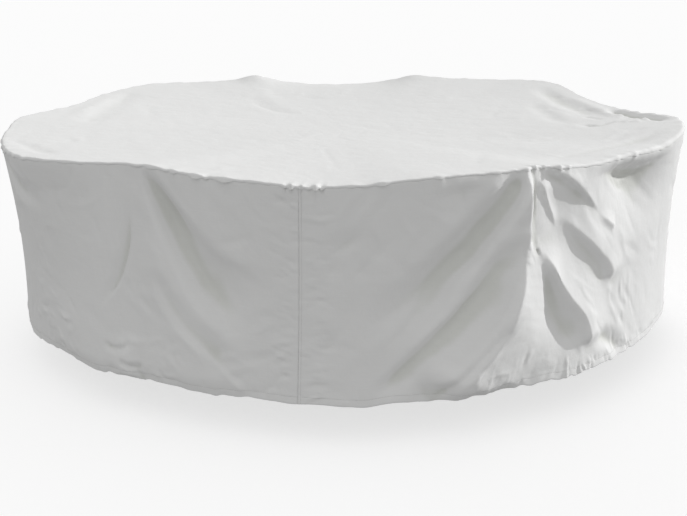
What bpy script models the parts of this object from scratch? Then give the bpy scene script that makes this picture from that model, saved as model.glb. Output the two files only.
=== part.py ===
"""A fitted cover for a set of garden furniture, as it hangs in use: metres, +Z up.

The cover is an oval top panel sewn to a skirt of two halves, with an upright seam at the
front and one at the back.  It is modelled as the cloth lies over what it covers: the rim is
held up at six shoulders and sags between them, the top sags to its middle, and the skirt
hangs from the rim to the hem in long slanting folds.  Front is -Y and right is +X.  The
origin is the middle of the top panel's underside.
"""

from collections import namedtuple

import bmesh
import bpy
import numpy as np

# Driving dimensions
CLOTH_THICKNESS = 0.002
SEAM_GAP = 0.0004
MIDDLE_HEIGHT = 0.86  # top panel's outer face above the ground, at the middle
MOUNT_HEIGHT = MIDDLE_HEIGHT - CLOTH_THICKNESS
RIM_ROLL = 0.012  # radius of the turned edge of the top panel
RIM_DROP = 0.020  # from the top of the rim down to its seam with the skirt
SAG_POWER = 2.2  # how late the top panel leaves its sagging middle for the rim
WAIST = 0.016  # how far the skirt draws in half way down
SEAM_BAND = 0.010  # the skirt hangs straight this far below its seam with the top panel
RIM_HOLD = 0.045  # and the folds open in this depth under it
SEAM_ROWS = (0.0, 0.012, 0.035)  # shares of the drop, next to the seam
EVEN_ROWS = 16  # rows from just under them to the hem
TOP_RINGS = (0.12, 0.28, 0.44, 0.58, 0.69, 0.78, 0.86, 0.93)  # shares of the way to the rim
ROLL_STEPS = 2

# Finish
CLOTH_COLOUR = (0.62, 0.62, 0.60)
CLOTH_ROUGHNESS = 0.85
COLLECTION = "garden_furniture_cover"

# The rim and the hem at stations round the cover, anticlockwise from the front seam.
# Heights are above the ground.  A shoulder is where the cloth is held up from inside.
Station = namedtuple("Station", "place rim_x rim_y rim_z hem_x hem_y hem_z")
STATIONS = (
    Station("front seam", -0.140, -0.985, 0.886, -0.150, -1.040, 0.141),
    Station("front middle", 0.040, -0.985, 0.889, 0.030, -1.063, 0.140),
    Station("front right shoulder, near end", 0.265, -0.955, 0.906, 0.255, -1.022, 0.143),
    Station("front right shoulder", 0.470, -0.875, 0.905, 0.490, -0.940, 0.141),
    Station("front right shoulder, far end", 0.660, -0.790, 0.904, 0.690, -0.880, 0.142),
    Station("right front span", 0.860, -0.660, 0.881, 0.880, -0.775, 0.143),
    Station("right shoulder, front end", 1.050, -0.500, 0.883, 1.060, -0.600, 0.141),
    Station("right shoulder, front half", 1.240, -0.310, 0.881, 1.215, -0.395, 0.143),
    Station("right shoulder", 1.365, -0.100, 0.897, 1.345, -0.120, 0.145),
    Station("right shoulder, back half", 1.360, 0.040, 0.905, 1.360, 0.060, 0.143),
    Station("right shoulder, back end", 1.255, 0.170, 0.908, 1.310, 0.240, 0.140),
    Station("right back span", 1.165, 0.330, 0.906, 1.220, 0.430, 0.139),
    Station("right back span, middle", 1.110, 0.560, 0.903, 1.130, 0.620, 0.140),
    Station("back right shoulder, far end", 1.000, 0.830, 0.930, 1.000, 0.790, 0.142),
    Station("back right shoulder", 0.680, 0.935, 0.929, 0.660, 0.930, 0.141),
    Station("back right shoulder, near end", 0.345, 0.985, 0.938, 0.310, 1.010, 0.139),
    Station("back middle", -0.050, 0.990, 0.895, -0.060, 1.040, 0.138),
    Station("back left shoulder, near end", -0.430, 0.985, 0.935, -0.400, 1.000, 0.140),
    Station("back left shoulder", -0.680, 0.930, 0.917, -0.660, 0.920, 0.142),
    Station("back left shoulder, far end", -0.930, 0.840, 0.921, -0.930, 0.780, 0.141),
    Station("left back span, middle", -1.110, 0.610, 0.911, -1.110, 0.600, 0.140),
    Station("left back span", -1.185, 0.330, 0.909, -1.220, 0.390, 0.139),
    Station("left shoulder, back end", -1.265, 0.170, 0.912, -1.290, 0.200, 0.141),
    Station("left shoulder, back half", -1.335, 0.010, 0.914, -1.325, 0.020, 0.143),
    Station("left shoulder", -1.330, -0.150, 0.904, -1.315, -0.150, 0.144),
    Station("left shoulder, front half", -1.300, -0.330, 0.898, -1.240, -0.370, 0.142),
    Station("left shoulder, front end", -1.160, -0.585, 0.894, -1.090, -0.575, 0.141),
    Station("left front span", -0.930, -0.675, 0.893, -0.915, -0.765, 0.140),
    Station("front left shoulder, far end", -0.700, -0.760, 0.905, -0.730, -0.850, 0.142),
    Station("front left shoulder", -0.480, -0.870, 0.893, -0.500, -0.965, 0.141),
    Station("front left shoulder, near end", -0.280, -0.945, 0.891, -0.290, -1.010, 0.143),
)

# How close together the skirt's columns stand: from the front seam out to a reach along the rim,
# closest where the folds are.  The last row of each side runs on to the back seam.
Zone = namedtuple("Zone", "place reach spacing")
LEFT_ZONES = (
    Zone("front left", 1.35, 0.036),
    Zone("left end and back", None, 0.080),
)
RIGHT_ZONES = (
    Zone("front right", 0.45, 0.040),
    Zone("corner", 1.36, 0.022),
    Zone("right end and back", None, 0.080),
)

# Folds in the skirt.  From and to are places on the cloth: metres along the rim from the
# front seam, right is plus, and the share of the drop from rim to hem.  Bow is how far the
# middle of the fold swings to the right.  Left and right are the widths of its two flanks at
# the start, spread is how much wider it is at its end, rise is plus for a ridge and minus for
# a trough, crisp is 0 for a round fold and 1 for a sharp one, and open and close are the shares
# of its length over which it grows and dies out.
Fold = namedtuple(
    "Fold",
    "name from_along from_drop to_along to_drop bow left right spread rise crisp open close",
)
FOLDS = (
    Fold("left swag", -0.58, 0.00, -0.17, 0.55, 0.014, 0.050, 0.055, 2.2, -0.030, 0.2, 0.12, 0.45),
    Fold("left swag, lip", -0.53, 0.18, -0.18, 0.67, -0.052, 0.035, 0.040, 1.5, 0.013, 0.2, 0.25, 0.40),
    Fold("left lower swag", -0.53, 0.48, -0.24, 0.94, -0.015, 0.055, 0.045, 1.3, -0.022, 0.3, 0.35, 0.20),
    Fold("left lower swag, lip", -0.47, 0.69, -0.20, 0.98, 0.007, 0.025, 0.025, 1.2, 0.010, 0.8, 0.25, 0.10),
    Fold("left curl", -0.65, 0.13, -0.80, 0.70, 0.052, 0.035, 0.025, 1.0, -0.016, 0.6, 0.35, 0.12),
    Fold("left knee", -0.67, 0.78, -0.66, 1.01, 0.004, 0.100, 0.090, 1.0, 0.016, 0.0, 0.40, 0.10),
    Fold("left corner tuck", -1.33, 0.02, -1.00, 0.24, 0.061, 0.055, 0.055, 1.3, -0.014, 0.0, 0.20, 0.45),
    Fold("right short swag", 0.77, 0.00, 0.36, 0.13, -0.018, 0.040, 0.045, 1.5, -0.010, 0.0, 0.25, 0.50),
    Fold("right swag", 0.78, 0.00, 0.10, 0.71, 0.006, 0.060, 0.055, 2.0, -0.030, 0.2, 0.12, 0.45),
    Fold("right swag, lip", 0.67, 0.34, 0.17, 0.79, 0.016, 0.055, 0.055, 1.3, 0.012, 0.0, 0.30, 0.40),
    Fold("right lower swag", 0.64, 0.52, 0.20, 0.95, 0.004, 0.035, 0.050, 1.4, -0.020, 0.4, 0.30, 0.20),
    Fold("right hem swag", 0.75, 0.63, 0.45, 0.99, -0.014, 0.030, 0.035, 1.2, -0.013, 0.6, 0.30, 0.10),
    Fold("corner ridge", 0.79, 0.00, 0.79, 0.42, 0.000, 0.090, 0.045, 1.0, 0.034, 0.5, 0.12, 0.30),
    Fold("corner fall", 0.79, 0.29, 0.53, 0.96, 0.092, 0.100, 0.130, 1.4, 0.054, 0.6, 0.30, 0.15),
    Fold("leaf ridge", 0.91, 0.00, 1.25, 0.34, 0.013, 0.050, 0.160, 1.1, 0.036, 0.8, 0.15, 0.35),
    Fold("lens ridge", 0.92, 0.16, 1.28, 0.64, 0.036, 0.055, 0.120, 1.1, 0.034, 0.4, 0.25, 0.25),
    Fold("drop ridge", 0.85, 0.32, 1.14, 0.84, -0.008, 0.080, 0.130, 1.2, 0.046, 0.5, 0.25, 0.25),
    Fold("wedge shelf", 1.14, 0.03, 1.64, 0.04, -0.024, 0.050, 0.050, 1.0, -0.014, 0.0, 0.30, 0.30),
    Fold("right span, hollow", 0.93, 0.00, 1.02, 0.95, 0.000, 0.140, 0.300, 1.0, -0.030, 0.0, 0.20, 0.50),
    Fold("left span, hollow", -0.92, 0.00, -0.98, 0.95, 0.000, 0.300, 0.200, 1.0, -0.016, 0.0, 0.20, 0.50),
    Fold("right end, fall", 2.06, 0.05, 2.12, 1.05, 0.020, 0.120, 0.090, 1.3, 0.016, 0.0, 0.25, 0.10),
    Fold("right end, swag", 2.10, 0.00, 2.44, 0.72, -0.010, 0.060, 0.070, 1.8, -0.018, 0.0, 0.15, 0.40),
    Fold("right back span, hollow", 2.50, 0.00, 2.46, 0.95, 0.000, 0.220, 0.220, 1.0, -0.022, 0.0, 0.20, 0.50),
    Fold("back right fall", 2.86, 0.00, 2.92, 1.00, 0.020, 0.100, 0.090, 1.3, 0.026, 0.5, 0.15, 0.10),
    Fold("back right swag", 2.90, 0.00, 3.44, 0.74, 0.000, 0.060, 0.060, 2.0, -0.020, 0.0, 0.15, 0.45),
    Fold("back right lip", 2.98, 0.30, 3.40, 0.92, 0.010, 0.050, 0.050, 1.4, 0.012, 0.0, 0.30, 0.30),
    Fold("back middle, right swag", 3.50, 0.00, 3.72, 0.60, 0.010, 0.050, 0.050, 1.8, -0.014, 0.0, 0.20, 0.45),
    Fold("back middle, left swag", -3.22, 0.00, -3.52, 0.66, 0.000, 0.050, 0.060, 1.8, -0.015, 0.0, 0.20, 0.45),
    Fold("back left swag", -2.70, 0.00, -3.16, 0.80, -0.010, 0.060, 0.060, 1.8, -0.018, 0.0, 0.15, 0.40),
    Fold("back left fall", -2.66, 0.00, -2.62, 1.00, -0.020, 0.090, 0.100, 1.3, 0.024, 0.5, 0.15, 0.10),
    Fold("left back span, hollow", -2.30, 0.00, -2.28, 0.95, 0.000, 0.220, 0.220, 1.0, -0.020, 0.0, 0.20, 0.50),
    Fold("left end, swag", -1.93, 0.00, -2.22, 0.70, 0.010, 0.060, 0.060, 1.7, -0.014, 0.0, 0.15, 0.40),
    Fold("left end, fall", -1.86, 0.10, -1.84, 1.05, 0.000, 0.090, 0.110, 1.2, 0.014, 0.0, 0.25, 0.10),
)

# Creases in the top panel, in plan: a plus rise is a ridge and a minus one a trough.
Crease = namedtuple("Crease", "name from_x from_y to_x to_y bow width rise")
TOP_CREASES = (
    Crease("left end", -1.00, 0.74, -1.06, -0.08, 0.000, 0.070, -0.010),
    Crease("left end, beside it", -1.08, 0.60, -1.14, 0.00, 0.000, 0.060, 0.006),
    Crease("left rim", -1.28, -0.31, -1.03, -0.56, 0.000, 0.050, -0.006),
    Crease("back left", -0.45, 0.70, -0.16, 0.30, 0.020, 0.060, -0.006),
    Crease("right end", 0.92, 0.78, 1.07, 0.06, 0.020, 0.070, -0.012),
    Crease("right end, beside it", 1.06, 0.60, 1.16, 0.06, 0.000, 0.050, 0.008),
    Crease("right end, inner", 0.86, 0.52, 0.94, 0.00, 0.000, 0.060, -0.007),
    Crease("right rim", 0.70, -0.59, 1.31, -0.13, 0.000, 0.050, -0.006),
    Crease("front right", 0.52, -0.42, 0.44, -0.76, 0.000, 0.050, -0.005),
)


def smooth(value):
    """0 below 0, 1 above 1, and a soft step between."""
    share = np.clip(value, 0.0, 1.0)
    return share * share * (3.0 - 2.0 * share)


def closed_curve(knots, length, values, along):
    """Values at places along a closed curve, smoothly through the knots."""
    count = len(knots)
    spans = np.diff(np.append(knots, length))
    slopes = (np.roll(values, -1, axis=0) - values) / spans[:, None]
    before = np.roll(spans, 1)[:, None]
    after = spans[:, None]
    tangents = (np.roll(slopes, 1, axis=0) * after + slopes * before) / (before + after)
    along = np.mod(along, length)
    left = np.clip(np.searchsorted(knots, along, side="right") - 1, 0, count - 1)
    right = (left + 1) % count
    span = spans[left][:, None]
    share = ((along - knots[left]) / spans[left])[:, None]
    square, cube = share**2, share**3
    return (
        (2 * cube - 3 * square + 1) * values[left]
        + (cube - 2 * square + share) * span * tangents[left]
        + (3 * square - 2 * cube) * values[right]
        + (cube - square) * span * tangents[right]
    )


RIM_POINTS = np.array([(s.rim_x, s.rim_y, s.rim_z) for s in STATIONS])
HEM_POINTS = np.array([(s.hem_x, s.hem_y, s.hem_z) for s in STATIONS])
RIM_STEPS = np.linalg.norm(np.roll(RIM_POINTS, -1, axis=0) - RIM_POINTS, axis=1)
ROUND = float(RIM_STEPS.sum())
KNOTS = np.concatenate([[0.0], np.cumsum(RIM_STEPS)[:-1]])


def rim(along):
    return closed_curve(KNOTS, ROUND, RIM_POINTS, along)


def hem(along):
    return closed_curve(KNOTS, ROUND, HEM_POINTS, along)


def outward(along):
    """Level unit vectors that point out of the cover at places along the rim."""
    step = 0.01
    ahead = rim(along + step) + hem(along + step)
    behind = rim(along - step) + hem(along - step)
    run = (ahead - behind)[:, :2]
    run /= np.linalg.norm(run, axis=1)[:, None]
    return np.stack([run[:, 1], -run[:, 0], np.zeros(len(run))], axis=1)


def fold_rise(fold, along, drop, height):
    """How far one fold moves the cloth outwards at places on the skirt."""
    start = np.array([fold.from_along, fold.from_drop * height])
    end = np.array([fold.to_along, fold.to_drop * height])
    run = end - start
    reach = float(np.hypot(*run))
    run = run / reach
    aside = np.array([run[1], -run[0]])
    if aside[0] < 0:
        aside = -aside
    offset_along = along - start[0]
    offset_drop = drop * height - start[1]
    share = (offset_along * run[0] + offset_drop * run[1]) / reach
    inside = np.clip(share, 0.0, 1.0)
    across = offset_along * aside[0] + offset_drop * aside[1] - fold.bow * 4 * inside * (1 - inside)
    widen = 1.0 + (fold.spread - 1.0) * inside
    width = np.where(across < 0, fold.left, fold.right) * widen
    near = np.clip(1.0 - np.abs(across) / width, 0.0, 1.0)
    flank = smooth(near) * (1.0 - fold.crisp) + near * near * fold.crisp
    ends = smooth(share / fold.open) * smooth((1.0 - share) / fold.close)
    return fold.rise * flank * ends


def skirt(along, share):
    """Points on the skirt's outer face at places along the rim and shares of the drop."""
    top = rim(along) - np.array([0.0, 0.0, RIM_DROP])
    bottom = hem(along)
    points = top + (bottom - top) * share[:, None]
    height = float(np.mean(top[:, 2] - bottom[:, 2]))
    signed = np.mod(along + ROUND / 2, ROUND) - ROUND / 2
    rise = -WAIST * np.sin(np.pi * share)
    for fold in FOLDS:
        rise = rise + fold_rise(fold, signed, share, height)
    rise *= smooth((share * height - SEAM_BAND) / RIM_HOLD)
    return points + outward(along) * rise[:, None]


def columns(zones):
    """Distances along the rim from the front seam to the back seam, for one half."""
    marks = [0.0]
    for zone in zones:
        reach = zone.reach or ROUND / 2
        steps = 2 * round((reach - marks[-1]) / zone.spacing / 2)
        marks.extend(np.linspace(marks[-1], reach, steps + 1)[1:])
    return np.array(marks)


def top(along, share):
    """Points on the top panel's outer face at places along the rim and shares of the way out."""
    edge = rim(along)
    inner = edge - outward(along) * RIM_ROLL
    points = inner * share[:, None]
    lift = share**SAG_POWER
    points[:, 2] = MIDDLE_HEIGHT + (edge[:, 2] - MIDDLE_HEIGHT) * lift
    rise = sum(crease_rise(crease, points[:, 0], points[:, 1]) for crease in TOP_CREASES)
    points[:, 2] += rise * smooth((1.0 - share) * 12.0)
    return points


def crease_rise(crease, x, y):
    """How far one crease lifts the top panel at places in plan."""
    run_x = crease.to_x - crease.from_x
    run_y = crease.to_y - crease.from_y
    reach = float(np.hypot(run_x, run_y))
    run_x /= reach
    run_y /= reach
    share = ((x - crease.from_x) * run_x + (y - crease.from_y) * run_y) / reach
    inside = np.clip(share, 0.0, 1.0)
    across = (x - crease.from_x) * run_y - (y - crease.from_y) * run_x
    across = across - crease.bow * 4 * inside * (1 - inside)
    ends = smooth(share / 0.3) * smooth((1.0 - share) / 0.3)
    return crease.rise * smooth(1.0 - np.abs(across) / crease.width) * ends


def rolled_edge(along, turn):
    """The turned edge of the top panel: 0 is its top, 1 its outermost point."""
    angle = np.pi / 2 * turn
    inward = RIM_ROLL * (1.0 - np.sin(angle))
    down = RIM_ROLL * (1.0 - np.cos(angle))
    return rim(along) - outward(along) * inward - np.array([0.0, 0.0, down])


def add_object(name, bm, colour):
    """A named object of the bmesh, with its own material and the cloth's thickness."""
    mesh = bpy.data.meshes.new(name)
    bm.normal_update()
    bm.to_mesh(mesh)
    bm.free()
    mesh.shade_smooth()
    obj = bpy.data.objects.new(name, mesh)
    bpy.data.collections[COLLECTION].objects.link(obj)
    obj.location.z = -MOUNT_HEIGHT
    material = bpy.data.materials.new(name)
    material.use_nodes = True
    shader = material.node_tree.nodes["Principled BSDF"]
    shader.inputs["Base Color"].default_value = (*colour, 1.0)
    shader.inputs["Roughness"].default_value = CLOTH_ROUGHNESS
    shader.inputs["Metallic"].default_value = 0.0
    mesh.materials.append(material)
    wall = obj.modifiers.new("thickness", "SOLIDIFY")
    wall.thickness = CLOTH_THICKNESS
    wall.offset = -1.0
    return obj


def add_rows(bm, rows, closed):
    """Faces between rows of points; each row is a list of points along the cloth."""
    verts = [[bm.verts.new(point) for point in row] for row in rows]
    count = len(verts[0])
    for upper, lower in zip(verts, verts[1:]):
        for i in range(count if closed else count - 1):
            j = (i + 1) % count
            bm.faces.new((upper[i], lower[i], lower[j], upper[j]))
    return verts


def add_top_panel(left, right):
    """The oval top panel with its turned edge, over the columns of both skirts."""
    around = np.concatenate([left[:-1], right[:-1]])
    bm = bmesh.new()
    outer = [top(around, np.ones(len(around)))]
    outer += [rolled_edge(around, (step + 1) / ROLL_STEPS) for step in range(ROLL_STEPS)]
    outer.append(rim(around) - np.array([0.0, 0.0, RIM_DROP - SEAM_GAP]))
    rim_verts = add_rows(bm, outer, closed=True)[0]
    coarse = around[::2]
    inner = [top(coarse, np.full(len(coarse), share)) for share in TOP_RINGS]
    inner_verts = add_rows(bm, inner, closed=True)
    fringe = inner_verts[-1]
    for i, vert in enumerate(fringe):
        after = fringe[(i + 1) % len(fringe)]
        first, second = rim_verts[2 * i], rim_verts[2 * i + 1]
        third = rim_verts[(2 * i + 2) % len(rim_verts)]
        bm.faces.new((vert, first, second))
        bm.faces.new((vert, second, after))
        bm.faces.new((after, second, third))
    middle = bm.verts.new((0.0, 0.0, MIDDLE_HEIGHT))
    hub = inner_verts[0]
    for i, vert in enumerate(hub):
        bm.faces.new((middle, vert, hub[(i + 1) % len(hub)]))
    add_object("top_panel", bm, CLOTH_COLOUR)


def add_skirt(name, along):
    """One half of the skirt between the front and the back seam."""
    bm = bmesh.new()
    shares = [*SEAM_ROWS, *np.linspace(SEAM_ROWS[-1], 1.0, EVEN_ROWS + 1)[1:]]
    rows = [skirt(along, np.full(len(along), share)) for share in shares]
    add_rows(bm, rows, closed=False)
    add_object(name, bm, CLOTH_COLOUR)


def main():
    for thing in list(bpy.data.objects):
        bpy.data.objects.remove(thing)
    collection = bpy.data.collections.new(COLLECTION)
    bpy.context.scene.collection.children.link(collection)
    left = -columns(LEFT_ZONES)[::-1]
    right = columns(RIGHT_ZONES)
    add_top_panel(left, right)
    seam = SEAM_GAP / 2
    add_skirt("skirt_left", np.concatenate([[left[0] + seam], left[1:-1], [left[-1] - seam]]))
    add_skirt("skirt_right", np.concatenate([[right[0] + seam], right[1:-1], [right[-1] - seam]]))


if __name__ == "__main__":
    main()
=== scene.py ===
"""Looks of a large fitted garden cover, sewn from a top panel and two skirt panels.

The cloth hangs over something that holds its rim up at six shoulders.  Everything is in
metres, +Z up, with the origin in the middle of the top panel's underside; front is -Y and
right is +X.  A place on the skirt is a pair: metres along the rim from the front seam, right
is plus, and the share of the drop from the rim down to the hem.
"""

from __future__ import annotations

import logging
import math
from dataclasses import dataclass, field
from enum import Enum

import bmesh
import bpy
import numpy as np
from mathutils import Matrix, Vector


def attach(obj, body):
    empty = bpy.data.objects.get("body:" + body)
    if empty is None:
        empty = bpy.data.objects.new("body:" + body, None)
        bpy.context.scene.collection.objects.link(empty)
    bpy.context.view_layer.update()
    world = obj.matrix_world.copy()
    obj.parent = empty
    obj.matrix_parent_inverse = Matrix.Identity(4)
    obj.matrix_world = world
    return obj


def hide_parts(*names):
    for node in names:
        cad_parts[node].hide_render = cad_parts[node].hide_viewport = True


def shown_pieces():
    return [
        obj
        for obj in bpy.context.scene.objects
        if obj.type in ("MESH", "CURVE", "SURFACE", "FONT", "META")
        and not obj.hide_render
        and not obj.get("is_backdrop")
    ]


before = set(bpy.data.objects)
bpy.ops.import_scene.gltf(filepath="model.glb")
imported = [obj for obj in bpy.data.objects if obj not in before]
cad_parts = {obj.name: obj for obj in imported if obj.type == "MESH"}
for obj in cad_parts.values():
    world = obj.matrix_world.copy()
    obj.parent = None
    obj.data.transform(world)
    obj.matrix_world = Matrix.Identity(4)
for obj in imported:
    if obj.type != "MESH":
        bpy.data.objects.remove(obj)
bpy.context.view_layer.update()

LOG = logging.getLogger("garden_cover")
BODY = "root"
UV_NAME = "cloth"
HOLLOW = "hollow"

Place = tuple[float, float]


# ---------------------------------------------------------------- shape of the drape


@dataclass(frozen=True)
class Station:
    """Rim and hem of the cover at one place round it.

    Attributes:
        place: Where it is.
        rim_x: How far the rim lies to the right of the middle.
        rim_y: How far it lies behind the middle.
        rim_z: Its height above the ground.
        hem_x: How far the hem lies to the right of the middle.
        hem_y: How far it lies behind the middle.
        hem_z: Its height above the ground.
        roll: Radius of the top panel's turned edge.
    """

    place: str
    rim_x: float
    rim_y: float
    rim_z: float
    hem_x: float
    hem_y: float
    hem_z: float
    roll: float = 0.005


class Crest(Enum):
    """How sharp the crest or the bottom of a fold is: 0 is round and 1 is pinched."""

    ROUND = 0.0
    SOFT = 0.3
    FIRM = 0.6
    SHARP = 0.9


@dataclass(frozen=True)
class Fold:
    """One fold, drawn on the flat cloth.

    Attributes:
        name: What the fold is.
        path: Places that its crest or its bottom runs through, from where it starts.
        left: Width of its flank towards minus, at the start.
        right: Width of its flank towards plus, at the start.
        spread: How many times wider it is at its end.
        rise: How far it stands out in metres; minus for a trough.
        crest: How sharp it is.
        opens: Share of its length over which it grows.
        closes: Share of its length over which it dies out.
        narrow: How many times wider its left flank is at its end, on top of the spread.
    """

    name: str
    path: tuple[Place, ...]
    left: float
    right: float
    spread: float
    rise: float
    crest: Crest = Crest.ROUND
    opens: float = 0.2
    closes: float = 0.3
    narrow: float = 1.0


@dataclass(frozen=True)
class Crumple:
    """A patch of many small creases, scattered with a fixed seed.

    Attributes:
        name: Where the patch is.
        start: One corner of the patch, as a place on the cloth.
        end: The other corner.
        count: How many creases it holds.
        length: Middle length of a crease in metres.
        width: Middle width of its flanks.
        rise: Largest rise; half of the creases are troughs.
        turn: Direction of the creases in degrees, 0 along the rim and 90 down.
        swing: How far the direction varies either way.
        seed: Seed of the scatter.
    """

    name: str
    start: Place
    end: Place
    count: int
    length: float
    width: float
    rise: float
    turn: float
    swing: float
    seed: int


STATIONS = (
    Station("front seam", -0.140, -0.985, 0.886, -0.150, -1.040, 0.141),
    Station("front middle", 0.040, -0.985, 0.889, 0.030, -1.063, 0.140),
    Station("front right shoulder, near end", 0.265, -0.955, 0.906, 0.255, -1.022, 0.143),
    Station("front right shoulder", 0.470, -0.875, 0.905, 0.490, -0.940, 0.141),
    Station("front right shoulder, far end", 0.660, -0.790, 0.904, 0.690, -0.880, 0.142),
    Station("right front span", 0.860, -0.660, 0.881, 0.880, -0.775, 0.143, 0.008),
    Station("right shoulder, front end", 1.050, -0.500, 0.883, 1.060, -0.600, 0.141, 0.011),
    Station("right shoulder, front half", 1.240, -0.310, 0.881, 1.215, -0.395, 0.143, 0.014),
    Station("right shoulder", 1.365, -0.100, 0.907, 1.345, -0.120, 0.145, 0.012),
    Station("right shoulder, back half", 1.370, 0.040, 0.914, 1.360, 0.060, 0.143, 0.009),
    Station("right shoulder, back end", 1.255, 0.170, 0.908, 1.310, 0.240, 0.140),
    Station("right back span", 1.165, 0.330, 0.906, 1.220, 0.430, 0.139),
    Station("right back span, middle", 1.110, 0.560, 0.903, 1.130, 0.620, 0.140),
    Station("back right shoulder, far end", 1.000, 0.830, 0.930, 1.000, 0.790, 0.142),
    Station("back right shoulder", 0.680, 0.935, 0.929, 0.660, 0.930, 0.141),
    Station("back right peak, before it", 0.490, 0.966, 0.931, 0.460, 0.978, 0.140),
    Station("back right shoulder, near end", 0.345, 0.985, 0.940, 0.310, 1.010, 0.139),
    Station("back right peak, past it", 0.220, 0.990, 0.914, 0.190, 1.024, 0.139),
    Station("back middle", -0.050, 0.990, 0.895, -0.060, 1.040, 0.138),
    Station("back left peak, before it", -0.335, 0.989, 0.917, -0.310, 1.014, 0.139),
    Station("back left shoulder, near end", -0.430, 0.985, 0.940, -0.400, 1.000, 0.140),
    Station("back left peak, past it", -0.545, 0.966, 0.921, -0.520, 0.965, 0.141),
    Station("back left shoulder", -0.680, 0.930, 0.917, -0.660, 0.920, 0.142),
    Station("back left shoulder, far end", -0.930, 0.840, 0.921, -0.930, 0.780, 0.141),
    Station("left back span, middle", -1.110, 0.610, 0.911, -1.110, 0.600, 0.140),
    Station("left back span", -1.185, 0.330, 0.909, -1.220, 0.390, 0.139),
    Station("left shoulder, back end", -1.265, 0.170, 0.912, -1.290, 0.200, 0.141),
    Station("left shoulder, back half", -1.335, 0.010, 0.914, -1.325, 0.020, 0.143, 0.008),
    Station("left shoulder", -1.330, -0.150, 0.904, -1.315, -0.150, 0.144, 0.010),
    Station("left shoulder, front half", -1.300, -0.330, 0.898, -1.240, -0.370, 0.142, 0.010),
    Station("left shoulder, front end", -1.160, -0.585, 0.894, -1.090, -0.575, 0.141, 0.007),
    Station("left front span", -0.930, -0.675, 0.893, -0.915, -0.765, 0.140),
    Station("front left shoulder, far end", -0.700, -0.760, 0.905, -0.730, -0.850, 0.142),
    Station("front left shoulder", -0.480, -0.870, 0.893, -0.500, -0.965, 0.141),
    Station("front left shoulder, near end", -0.280, -0.945, 0.891, -0.290, -1.010, 0.143),
)

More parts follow.
